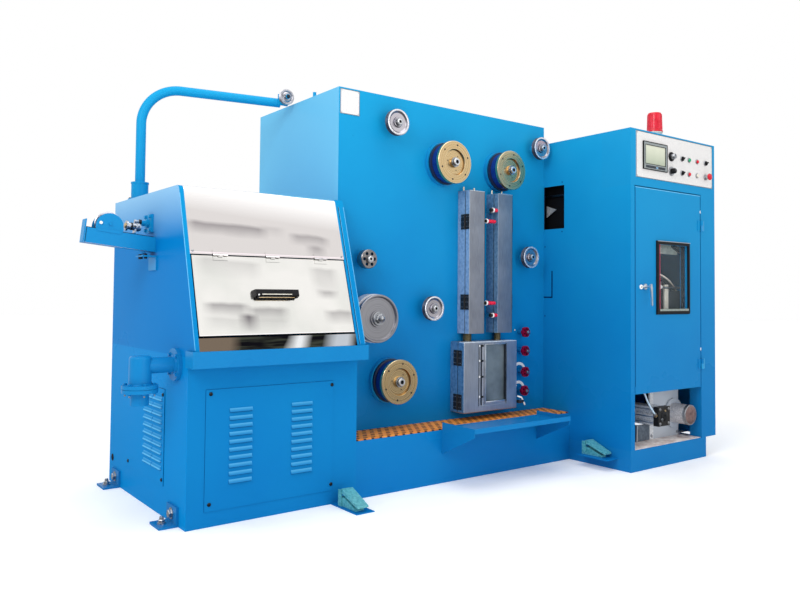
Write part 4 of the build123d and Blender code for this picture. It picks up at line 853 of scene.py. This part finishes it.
def dress_feet():
    """Bright bolts through the angle brackets."""
    low, high = span("foot_brackets")
    piece = Piece("foot_bolts")
    for x, out, middles in ((low.x + 80, -1, (-367.5, 427.5)), (high.x - 80, 1, (-807.5, 462.5))):
        for y in middles:
            down, across = (x + out * 50, y, 9.9), (x + out * 10, y, 46)
            piece.turned([(17.5, 0), (17.5, 6.5), (14.5, 6.5)], down, UP, zinc, 28)
            piece.turned([(14.5, 6), (14.5, 16), (12.5, 18.5), (8, 18.5)], down, UP, zinc, 6, 0.4)
            piece.turned([(8.6, 18), (8.6, 29), (6.5, 31), (0, 31)], down, UP, zinc, 20)
            piece.turned([(24, 0), (24, 3), (17.5, 3)], across, (out, 0, 0), zinc, 28)
            head = [(17.8, 2.5), (17.8, 12), (15.5, 14.5), (0, 14.5)]
            piece.turned(head, across, (out, 0, 0), zinc, 6, 0.2)


def dress_drain():
    """Bolts round the joint, on the wall flange, and the weld beads."""
    low, high = span("drain_elbow")
    x, y, height = low.x + 71, (low.y + high.y) / 2, 664
    wall = span("drawing_base")[0].x - 16
    piece = Piece("drain_bolts", slot="blue_paint")
    for px, py in round_about(6, 58, x, y, math.tau / 12):
        piece.bolt((px, py, low.z + 83), UP, 7.5, blue)
        piece.bolt((px, py, low.z + 51), DOWN, 7.5, blue)
        piece.turned([(3.4, 0), (3.4, 13), (0, 13)], (px, py, low.z + 50), DOWN, zinc, 12)
    for py, pz in round_about(4, 54, y, height, math.tau / 8):
        piece.bolt((wall, py, pz), LEFT, 8, blue)
    piece.turned([(40, 0), (38, 3), (33.2, 5)], (wall, y, height), LEFT, blue, 40)
    piece.turned([(49, 0), (47.5, 3), (44.2, 5)], (x, y, low.z + 83), UP, blue, 40)


# The entry arm lies in its own tilted frame: along the channel, across it, and up
ARM_TILT = math.radians(6)
ARM_ROOT = Vector((-400, -40, 1181))
ARM_ALONG = Vector((-math.cos(ARM_TILT), 0, math.sin(ARM_TILT)))
ARM_UP = Vector((math.sin(ARM_TILT), 0, math.cos(ARM_TILT)))
ARM_FLANGE = Vector((-412, 0, 1280))


def on_arm(along, across, up):
    return ARM_ROOT + ARM_ALONG * along + Vector((0, across, 0)) + ARM_UP * up


def dress_entry_arm():
    """The guard's nut and seams, the guide tube's fittings, and the bolts of the flange and bracket."""
    piece = Piece("arm_details", slot="blue_paint")
    piece.strip(on_arm(12, -35.2, 33), on_arm(304, -35.2, 33), 2.2, rubber, 0.4)
    piece.strip(on_arm(300, -35.2, 30), on_arm(300, -35.2, -33), 2.2, rubber, 0.4)
    piece.strip(on_arm(20, -33, -34.2), on_arm(300, -33, -34.2), 4, pink, 0.4, -ARM_UP)
    piece.turned([(7, 0), (7, 1.5), (5.5, 2.5), (5.5, 6), (4.5, 7), (0, 7)], (-637, -75.2, 1266), FRONT,
                 white, 24)
    ear = ((148, 34), (160, 22), (252, 22), (264, 34))
    for side in (-1, 1):
        piece.plate([on_arm(along, side * 35, up) for along, up in ear], (0, side * 2, 0), blue)
    end = ((-27, 66), (-27, -20), (-17, -32), (17, -32), (27, -20), (27, 66))
    piece.plate([on_arm(305, across, up) for across, up in end], ARM_ALONG * 1.6, blue)
    piece = Piece("guide_tube_fittings")
    tube = on_arm(66, 0, 68)
    for profile, look, steps in (([(15.4, 6), (19, 7), (19, 18), (15.4, 19)], zinc, 28),
                                 ([(15.4, 24), (17, 25), (17, 34), (15.4, 35)], zinc, 28),
                                 ([(15.6, 58), (22.6, 58), (22.6, 65), (12, 66), (6.5, 66)], zinc, 28),
                                 ([(6.5, 64.2), (11, 64.2), (11, 70), (6.5, 70)], brass, 24),
                                 ([(15.5, 38), (17.5, 38), (17.5, 44), (15.5, 44)], dark, 24)):
        piece.turned(profile, tube, ARM_ALONG, look, steps)
    for along in (12, 29, 41):
        piece.screw(tube + ARM_ALONG * along + Vector((0, -17, 0)), FRONT, 4, dark)
    for dy, dz in product((-31, 31), (-31, 31)):
        piece.bolt(ARM_FLANGE + Vector((0, dy, dz)), LEFT, 8, blue)
    piece.turned([(16, 0), (16, 12), (12.5, 14), (12.5, 30), (11, 32), (9, 32)], ARM_FLANGE, LEFT, blue, 28)
    piece.turned([(14, 32), (14, 42), (9, 43)], ARM_FLANGE, ARM_ALONG, dark, 6)
    piece.turned([(9, 30), (9, 62), (0, 62)], ARM_FLANGE, ARM_ALONG, zinc, 20)
    for y in (-82, -22, -2):
        piece.bolt((-446, y, 1130), UP, 8, dark)
        piece.turned([(7, 0), (7, 9), (0, 9)], (-446, y, 1124), DOWN, dark, 6)
    x, y, z, radius = face_centre("arm_pulley")
    at = (x, y - SHAFT_OUT, z)
    piece = Piece("arm_pulley_nut")
    piece.turned([(8.2, -10), (14, -10), (14, -4), (8.2, -4)], at, FRONT, zinc, 28)
    piece.turned([(8.4, -10), (11, -9), (11, 3), (9, 5), (0, 5)], at, FRONT, dark, 6)
    piece = Piece("arm_pulley_dish", "arm_wheel", "pulley_alloy")
    piece.turned([(14.5, 0.4), (17, -1.5), (radius - 14, -5), (radius - 8, -0.2), (radius - 2, -0.2),
                  (radius - 1, -1.2), (radius - 1, -3), (radius - 8, -4), (radius - 14, -8), (14.5, -4)],
                 (x, y, z), FRONT, alloy, 40, ring=True)


# Annealer, tank and the small things on the centre face. Heights of the left and right latches
LATCHES = (919, 1380), (850, 1445)
COVER_WIDTH = 114


def dress_hinges():
    """Screw heads on the hinge leaves of the covers and the tank."""
    channels, tank = span("anneal_channels"), span("cooling_tank")
    hinge_y = channels[0].y - 2.5
    fixed = Piece("hinge_screws_fixed")
    for body, x, out, lows in (("left_channel_cover", channels[0].x - 3, LEFT, (882, 1328)),
                               ("right_channel_cover", channels[1].x + 3, RIGHT, (882, 1328)),
                               ("tank_cover", tank[0].x - 3, LEFT, (336, 576))):
        moving = Piece(f"hinge_screws_{body}", body)
        for low, step, y in product(lows, (14, 42, 70), (-27, -14, 14, 27)):
            piece = moving if y < 0 else fixed
            piece.screw((x, hinge_y + y, low + step), out, 3.4, zinc_dark)


def dress_annealer():
    """Collars of the latch grips, the covers' edges with painted highlights along the left and top and a
    dark line along the right, and the bolts between them.
    """
    channels = span("anneal_channels")
    y = channels[0].y
    left_inner, right_inner = channels[0].x + COVER_WIDTH, channels[1].x - COVER_WIDTH
    piece = Piece("latch_collars")
    for x, heights in zip((left_inner - 2, right_inner - 56), LATCHES):
        for z in heights:
            at = (x, y - 37, z)
            piece.turned([(10.2, 12), (13.4, 12.6), (13.4, 20), (10.2, 20.6)], at, RIGHT, white, 24)
            piece.turned([(10.2, 34), (11.2, 34.5), (11.2, 36), (10.2, 36.5)], at, RIGHT, red, 24)
    for x, heights in zip((left_inner + 11, right_inner - 11), LATCHES):
        for z in heights:
            piece.bolt((x, y + 8, z), FRONT, 6, zinc)
    for side, shift in (("left", 10), ("right", 0)):
        low, high = span(f"anneal_cover_{side}")
        left = low.x + shift
        right = left + COVER_WIDTH
        piece = Piece(f"anneal_cover_{side}_edges", f"{side}_channel_cover", "grey_steel")
        # Painted highlights along the left and top edges, and a dark line along the right
        for x, z, look in (((left, left + 2.6), (low.z + 1, high.z - 1), bright),
                           ((left, right), (high.z - 3.2, high.z - 0.4), bright),
                           ((right - 1.6, right), (low.z + 1, high.z - 3), dark)):
            piece.sheet(x, low.y, z, (0, -0.5, 0), look)


def dress_tank():
    """Guide-rod screws, the pane's frame and ledge with painted highlights and thin lines of painted shade,
    and the lever.
    """
    door_low, _ = span("tank_door")
    face, rods = door_low.y, door_low.y + 10
    left = span("cooling_tank")[0].x
    recess = (left + 106, left + 322)
    low, high = door_low.z + 32, door_low.z + 374
    piece = Piece("tank_rod_screws", "tank_cover")
    for z in (682, 599, 511, 400):
        piece.turned([(6.5, -1), (6.5, 3), (5, 5.5), (0, 6)], (recess[0] + 14, rods, z), FRONT, white, 20)
        piece.block((recess[0] + 22, recess[0] + 44), (rods - 6, rods + 1), (z - 6, z + 5), dark)
    piece = Piece("tank_pane_frame", "tank_cover", "grey_steel")
    x0, x1 = recess[0] + 57, recess[1]
    # Bright strips are painted highlights on the frame's left and top and on the ledge; dim strips are
    # painted shade
    for x, y, z, look, bevel in (
            ((x0 - 3.5, x0 + 1.5), (face + 0.6, face + 19), (low + 12, high), bright, 0.6),
            ((x0, x1 - 1), (face + 2, face + 19), (high - 5, high - 1), bright, 0.6),
            ((x1 - 4, x1 - 0.5), (face + 1, face + 19), (low + 12, high), dim_steel, 0.6),
            ((x0, x1 - 2), (face + 4, face + 9), (low + 13, low + 22), bright, 1.5),
            ((recess[0] + 1, recess[0] + 4), (face + 0.6, rods), (low, high), dim_steel, 0.5),
            ((recess[0] + 26, recess[0] + 29), (rods - 6, rods - 0.5), (low + 4, high - 4), dim_steel, 0.5)):
        piece.block(x, y, z, look, bevel)
    piece = Piece("tank_lever")
    middle = Vector((left + 425, face + 12, door_low.z + 35))
    for start, end in (((-6, 3, 30), (14, -12, 22)), ((12, -12, 24), (40, -14, -22))):
        piece.strip(middle + Vector(start), middle + Vector(end), 8, white, 5)


def dress_centre():
    """Pins beside the handwheels and on the wide face, and the bare nameplate's rim."""
    wall = span("centre_box")[0].y
    piece = Piece("face_pins")
    for x, z in ((1672, 656), (1677, 426), (1662, 757)):
        piece.turned([(4.5, 0), (4.5, 2.5), (2.5, 4), (0, 4)], (x, wall, z), FRONT, white, 16)
    for x, z in ((510, 1770), (1888, 1640), (1888, 320)):
        piece.turned([(4, 0), (4, 1.2), (2.5, 2), (0, 2)], (x, wall, z), FRONT, blue, 12)
    piece = Piece("nameplate_rim", slot="plate_grey")
    low, high = span("face_plates")
    x, z = (low.x, 547), (1871, high.z)
    piece.rim(x, wall - 2, z, 2.5, (0, -0.6, 0), zinc_dark)
    for px, pz in product(grown(x, -8), grown(z, -8)):
        piece.turned([(2.6, 0), (2.2, 1.2), (0, 1.5)], (px, wall - 2, pz), FRONT, zinc, 14)


# Take-up cabinet
WIRE_WINDOW = ((-457, -292), (1369, 1631))
DOOR_RIGHT = 2589
LOCK = (2001, 1016)


def dress_left_wall():
    """Joints of the access plate, screws, and what shows through the wire window, with a black sheet inside
    standing in for shade.
    """
    wall = span("spooler_left_wall")[0].x
    piece = Piece("wall_joints", slot="blue_paint")
    piece.line(wall, -360, (950, 1114), 9, deep_blue, 0.4, LEFT)
    piece.line(wall, (-364, -292), 953, 8, deep_blue, 0.4, LEFT)
    for y, z in ((-302, 1263), (-303, 838), (-440, 1650), (-440, 1350)):
        piece.turned([(4.5, 0), (4, 1.4), (0, 2)], (wall, y, z), LEFT, dim_blue, 14)
    piece = Piece("wire_window_inside", slot="black_plastic")
    near, far = WIRE_WINDOW[0]
    piece.rim(wall + 1, *WIRE_WINDOW, 2, (6, 0, 0), rubber)
    # A black sheet stands in for the shade inside the wall
    piece.sheet(wall + 62, (near - 40, far + 60), grown(WIRE_WINDOW[1], 60), (4, 0, 0), void)
    piece.plate([(wall + 46, far + 20, 1448), (wall + 46, far + 20, 1520), (wall + 46, far - 58, 1494)],
                (5, 0, 0), cast_grey)
    piece.turned([(6, -10), (6, 12), (0, 12)], (wall + 52, near + 30, 1498), LEFT, zinc, 16)
    piece.block((wall + 40, wall + 60), (near + 8, far + 30), (1572, 1584), dark)


def dress_door():
    """A painted highlight along the top edge, dark hinge pins each with a painted glint above, the lock, and
    the window's lines with a painted highlight along its top.
    """
    low, high = span("spooler_door")
    face = span("spooler_head")[0].y
    piece = Piece("door_edges", "take_up_door", "blue_paint")
    # A painted highlight along the door's top edge, and dark lines at its sides
    piece.line((low.x + 2, DOOR_RIGHT - 2), face, high.z - 4, 3, pale)
    piece.line(low.x + 2, face, (low.z + 40, high.z - 8), 2.4, dim_blue, 0.4)
    piece.line(DOOR_RIGHT - 1.5, face, (low.z + 4, high.z - 8), 1.6, dim_blue, 0.4)
    for z in (595, 1423):
        # Dark hinge pins, each with a painted glint above it
        piece.line(DOOR_RIGHT - 1, face - 0.5, (z - 62, z), 5, rubber, 0.6)
        piece.line(DOOR_RIGHT - 2, face - 0.5, (z + 46, z + 62), 7, white, 0.6)
    low, high = span("window_frame")
    y = low.y
    piece = Piece("window_lines", "take_up_door", "black_plastic")
    # A painted highlight along the frame's top
    piece.line((low.x + 2, high.x - 2), y, high.z - 2, 3, bright)
    piece.line(low.x + 1.5, y, (low.z + 2, high.z - 2), 2, dim_steel)
    low, high = span("window_glass")
    inside = (low.z + 2, high.z - 2)
    piece.line(low.x + 2, y + 1, inside, 4, pink_line, 0.6)
    piece.block((high.x - 4, high.x - 1), (high.y + 1, high.y + 30), inside, rubber, 0.5)
    piece.block((high.x - 5, high.x - 3), (high.y + 28, high.y + 31), inside, blue, 0.5)
    piece.line((low.x, high.x), y + 1, low.z + 6, 13, green, 0.6)
    piece = Piece("door_lock", "take_up_door")
    at = (LOCK[0], face, LOCK[1])
    piece.turned([(13, 0), (13, 3), (11, 6), (4, 6), (3.5, 4), (0, 4)], at, FRONT, white, 28)
    piece.turned([(3.4, 4), (3.4, 6.4), (0, 6.4)], at, FRONT, black, 12)


def dress_window_inside():
    """What shows through the pane: a beam, a post with its rod and plate, and the spool's rings."""
    piece = Piece("traverse_guide")
    piece.block((2342, 2382), (-858, -846), (455, 1034), cream, 3)
    piece.block((2342, 2382), (-858, -799), (446, 458), cream, 2)
    piece.turned([(9, 0), (9, 3), (6, 4), (6, 214), (0, 214)], (2271, -864, 1016), RIGHT, zinc, 20)
    piece.turned([(12, -4), (12, 10), (9, 12), (0, 12)], (2286, -864, 1020), RIGHT, white, 20)
    piece.block((2380, 2564), (-857, -849), (868, 998), dim_steel, 2)
    piece.block((1944, 2440), (-880, -872), (1213, 1275), green, 2)
    piece.strip((2382, -880, 1268), (2530, -880, 1196), 24, rubber, 6)
    piece.strip((2424, -882, 1270), (2540, -882, 1206), 9, bright, 6)
    x, y, z, _ = face_centre("take_up_spool")
    piece = Piece("spool_flange_rings", "spool", "cast_grey")
    piece.turned([(296, -2), (305, -1), (305, 2.2), (296, 2.2)], (x, y, z), FRONT, cream, 96, ring=True)
    piece.turned([(268, -10), (272, -9), (272, 1), (268, 1)], (x, y, z), FRONT, dim_steel, 96, ring=True)


# Control panel: the switches' columns and rows
COLUMNS = (330, 437, 510, 594, 684)
ROWS = (1779, 1694)


def dress_screen(x, y, z):
    """A touch screen in its bezel, with a soft lit display and a band of keys below it."""
    def loop(side, foot, push=0):
        return rectangle(grown(x, -side), y - push, (z[0] + foot, z[1] - side))

    piece = Piece("screen_unit", slot="black_plastic", stands_for="panel_controls")
    piece.border(loop(0, 0), loop(4, 4), (0, -8, 0), black)
    piece.border(loop(4, 4), loop(20, 34), (0, -6.6, 0), bezel_grey)
    piece.border(loop(17, 31), loop(20, 34), (0, -7.2, 0), dark)
    piece.plate(loop(20, 34, 4), (0, -0.5, 0), display)
    piece.sheet(grown(x, -22), y - 6.6, (z[0] + 10, z[0] + 24), (0, -0.5, 0), dim_steel)
    middle = sum(x) / 2
    piece.block((middle + 4, middle + 22), (y - 7.6, y - 6.6), (z[0] + 13, z[0] + 20), pale_blue, 0.3)


def dress_panel():
    """The screen unit and the switches, in place of the plain controls, and the panel's rim."""
    low, high = span("control_panel")
    y = low.y
    left = span("panel_controls")[0].x
    dress_screen((left, left + 227), y, (1680, 1839))
    piece = Piece("switches", slot="black_plastic", stands_for="panel_controls")
    first, second, third, fourth, last = (low.x + offset for offset in COLUMNS)
    upper, lower = ROWS
    for z, ring, cap in ((upper, black, zinc), (lower, zinc, black)):
        piece.turned([(27, 0), (27, 5), (24, 8), (16, 8)], (first, y, z), FRONT, ring, 36)
        piece.turned([(16, 7), (15.5, 26), (13, 30), (0, 30)], (first, y, z), FRONT, cap, 28)
        piece.block((first - 2, first + 2), (y - 31, y - 26), (z, z + 13), zinc_dark, 0.5)
    for x, z in ((second, upper), (second, lower), (last, upper)):
        piece.turned([(16, 0), (16, 3), (14, 6), (9, 6)], (x, y, z), FRONT, zinc, 32)
        piece.turned([(13, 5), (13, 10), (11, 12), (0, 12)], (x, y, z), FRONT, black, 28)
        piece.block((x - 11, x + 11), (y - 20, y - 11), (z - 3.5, z + 3.5), black, 1.5,
                    Matrix.Rotation(math.radians(-35), 3, "Y"))
    for x, z, lens in ((third, upper, lens_green), (fourth, upper, lens_red), (third, lower, lens_red),
                       (fourth, lower, cream)):
        piece.turned([(15, 0), (15, 2.5), (13, 5), (10.5, 5)], (x, y, z), FRONT, zinc, 32)
        piece.turned([(10.5, 4), (10.5, 8), (8.5, 11), (4, 12), (0, 12.4)], (x, y, z), FRONT, lens, 28)
    stop = (last, y, lower)
    piece.turned([(18, 0), (18, 4), (15, 7), (13, 7), (13, 26)], stop, FRONT, zinc, 32)
    piece.turned([(13, 25), (20, 27), (20.4, 32), (17, 37), (9, 40), (0, 40.6)], stop, FRONT, lens_red, 36)
    piece = Piece("panel_rim", slot="panel_grey")
    x, z = (low.x, high.x), (low.z, high.z)
    piece.rim(x, y, z, 3, (0, -0.6, 0), zinc_dark)
    for px, pz in product(grown(x, -9), grown(z, -9)):
        piece.turned([(3.4, 0), (3, 1.4), (0, 1.8)], (px, y, pz), FRONT, zinc, 16)


def dress_beacon():
    """A ribbed red lens with a flared rim on a pale foot."""
    low, high = span("beacon")
    x, y = (low.x + high.x) / 2, (low.y + high.y) / 2
    piece = Piece("beacon_lens", slot="beacon_red", stands_for="beacon")
    piece.turned([(44, 0), (44, 6), (40, 9), (40, 40), (46, 44), (46, 52)], (x, y, low.z), UP, cream, 40)
    piece.turned([(48, 50), (48, 58), (46, 62), (44.5, 66), (41.5, 158), (38, 166), (30, 168), (0, 168)],
                 (x, y, low.z), UP, beacon_red, 48)
    for step in range(24):
        out = Vector((math.cos(math.tau * step / 24), math.sin(math.tau * step / 24), 0))
        near, far = (Vector((x, y, low.z + up)) + out * reach for reach, up in ((44.6, 66), (41.8, 157)))
        piece.strip(near, far, 4.2, beacon_light, 1.4, out)


def dress_lift_drive():
    """The cylinder's cap and fittings, the tube's end, and the plates of the low opening, two of them black
    to stand in for the shade inside it.
    """
    x, y, z = 2252, -915, 273
    piece = Piece("cylinder_cap_parts")
    for dx, dz in product((-41, 41), (-41, 41)):
        piece.screw((x + dx, y, z + dz), FRONT, 9, zinc)
    piece.turned([(30, 0), (30, 2), (26, 4), (10, 4), (9, 2), (0, 2)], (x, y, z), FRONT, dark, 32)
    piece.turned([(11, 0), (11, 5), (8, 7), (0, 7)], (x - 24, y, z - 18), FRONT, zinc_dark, 6)
    piece.turned([(7, 0), (7, 3), (0, 4)], (x + 8, y, z + 30), FRONT, brass, 16)
    root, out = (2203, -898, 273), Vector((-1, 0, 1)).normalized()
    piece.turned([(12, 8), (12, 15), (9.4, 15)], root, out, brass, 6)
    piece.turned([(9.4, 15), (10, 16), (10, 26), (7, 30.5), (5.4, 30.5)], root, out, zinc, 24)
    piece.turned([(11, 0), (11, 5), (9.2, 6)], (1957, -880, 520), LEFT, zinc, 24)
    for rib_x, rib_z in product((x - 52, x + 52), (z - 38, z - 4, z + 38)):
        piece.block((rib_x - 1.5, rib_x + 1.5), (-880, -598), (rib_z - 3, rib_z + 3), bright, 0.8)
    piece = Piece("tube_end_ring")
    end = (2503, -925, 259)
    piece.turned([(59.3, -20), (60.6, -18), (60.6, -2), (58, 0.8), (54, 0.8)], end, FRONT, zinc, 48)
    piece.turned([(55, -2), (55, 0.4), (53, 0.9), (4, 1.4), (0, 0.6)], end, FRONT, tube_end, 48)
    piece = Piece("opening_plates", slot="plate_grey")
    # The last two plates are black, standing in for the shade deep in the opening
    for across, depth, up, look, bevel in (((2136, 2266), (-806, -798), (121, 216), slate, 2),
                                           ((2136, 2143), (-812, -806), (121, 216), bright, 1),
                                           ((1946, 2588), (-936, -560), (118, 121), floor_sheet, 1),
                                           ((2588, 2736), (-770, -560), (118, 121), floor_sheet, 1),
                                           ((2566, 2736), (-560, -556), (250, 560), void, 1),
                                           ((2730, 2734), (-900, -560), (300, 560), void, 1)):
        piece.block(across, depth, up, look, bevel)
    for x, z in product((2290, 2548), (455, 140)):
        piece.bolt((x, -800, z), FRONT, 7, zinc)


def dress_pipe():
    """The socket's collar and seam on the roof."""
    x, y, z = span("bent_pipe")[0].x + 41, 360, span("housing_top")[1].z
    piece = Piece("pipe_collar", slot="blue_paint")
    piece.turned([(56, 0), (56, 6), (50, 9), (41.4, 9)], (x, y, z), UP, blue, 40)
    piece.turned([(41.4, 84), (43, 84), (43, 92), (24.4, 92)], (x, y, z), UP, blue, 40)
    for px, py in round_about(4, 48, x, y):
        piece.bolt((px, py, z + 8), UP, 5, zinc_dark)


for number in (1, 2, 3):
    dress_contact_wheel(number)
for number in (1, 2, 3, 4):
    dress_guide_pulley(number)
    dress_handwheel(number)
shaft_end("roller_nose", "drilled_roller", 13)
for dress in (dress_capstan, dress_slope, dress_panels, dress_feet, dress_drain, dress_entry_arm,
              dress_hinges, dress_annealer, dress_tank, dress_centre, dress_left_wall, dress_door,
              dress_window_inside, dress_panel, dress_beacon, dress_lift_drive, dress_pipe):
    dress()
for piece in pieces:
    piece.place()


# Stage: sizes and places in metres
FLOOR_RADIUS, FLOOR_GLOW = 30, 0.16
SOFT_BOX = (0.45, -0.715, 0.537)
WHITE = (1, 1, 1, 1)
# Lights: place, aim, size, power
LIGHTS = {"key": ((-3.2, -2.6, 3.6), (0.4, -0.3, 1.5), 2.2, 90),
          "fill": ((1.0, -6.5, 1.6), (1.2, -0.5, 1.5), 3.0, 60),
          "top": ((0.6, -1.0, 4.6), (0.6, -0.4, 0.0), 3.0, 50)}


def add_floor():
    floor = bpy.data.objects.new("floor", bpy.data.meshes.new("floor"))
    made = bmesh.new()
    bmesh.ops.create_circle(made, cap_ends=True, segments=64, radius=FLOOR_RADIUS)
    made.to_mesh(floor.data)
    made.free()
    bpy.context.scene.collection.objects.link(floor)
    sheet = plastic("floor_white", "f6f6f6 fcfcfc", (0.6, 0.8), 2, 0, Emission_Color=WHITE,
                    Emission_Strength=FLOOR_GLOW)
    floor.data.materials.append(sheet.done())
    floor.visible_glossy = False


def add_world():
    """A white room, darker in front and below, with one soft box."""
    world = bpy.data.worlds.new("studio")
    room = Tree(world)
    heading = room.node("TexCoord", {}, "Generated")
    soft = {"interpolation_type": "SMOOTHSTEP"}
    behind = room.spread(room.node("SeparateXYZ", {0: heading}, "Y"), -0.8, 0.2, 0.5, 1, **soft)
    above = room.spread(room.node("SeparateXYZ", {0: heading}, "Z"), -0.2, -0.04, 0.35, 1, **soft)
    towards = room.node("VectorMath", {0: heading, 1: SOFT_BOX}, "Value", operation="DOT_PRODUCT")
    glow = room.sum("MAXIMUM", behind, room.spread(towards, 0.7, 0.95, 0, 1.05, **soft))
    background = room.tree.nodes["Background"].inputs
    room.feed(background["Strength"], room.sum("MULTIPLY", glow, above))
    room.feed(background["Color"], WHITE)
    bpy.context.scene.world = world


def add_light(name, place, aim, size, power):
    lamp = bpy.data.lights.new(name, "AREA")
    lamp.shape, lamp.size, lamp.energy = "SQUARE", size, power
    holder = bpy.data.objects.new(name, lamp)
    holder.location = place
    holder.rotation_euler = (Vector(aim) - Vector(place)).to_track_quat("-Z", "Y").to_euler()
    holder.visible_camera = False
    bpy.context.scene.collection.objects.link(holder)


add_floor()
add_world()
bpy.context.scene.view_settings.view_transform = "Standard"
for name, (place, aim, size, power) in LIGHTS.items():
    add_light(name, place, aim, size, power)

bpy.context.view_layer.update()
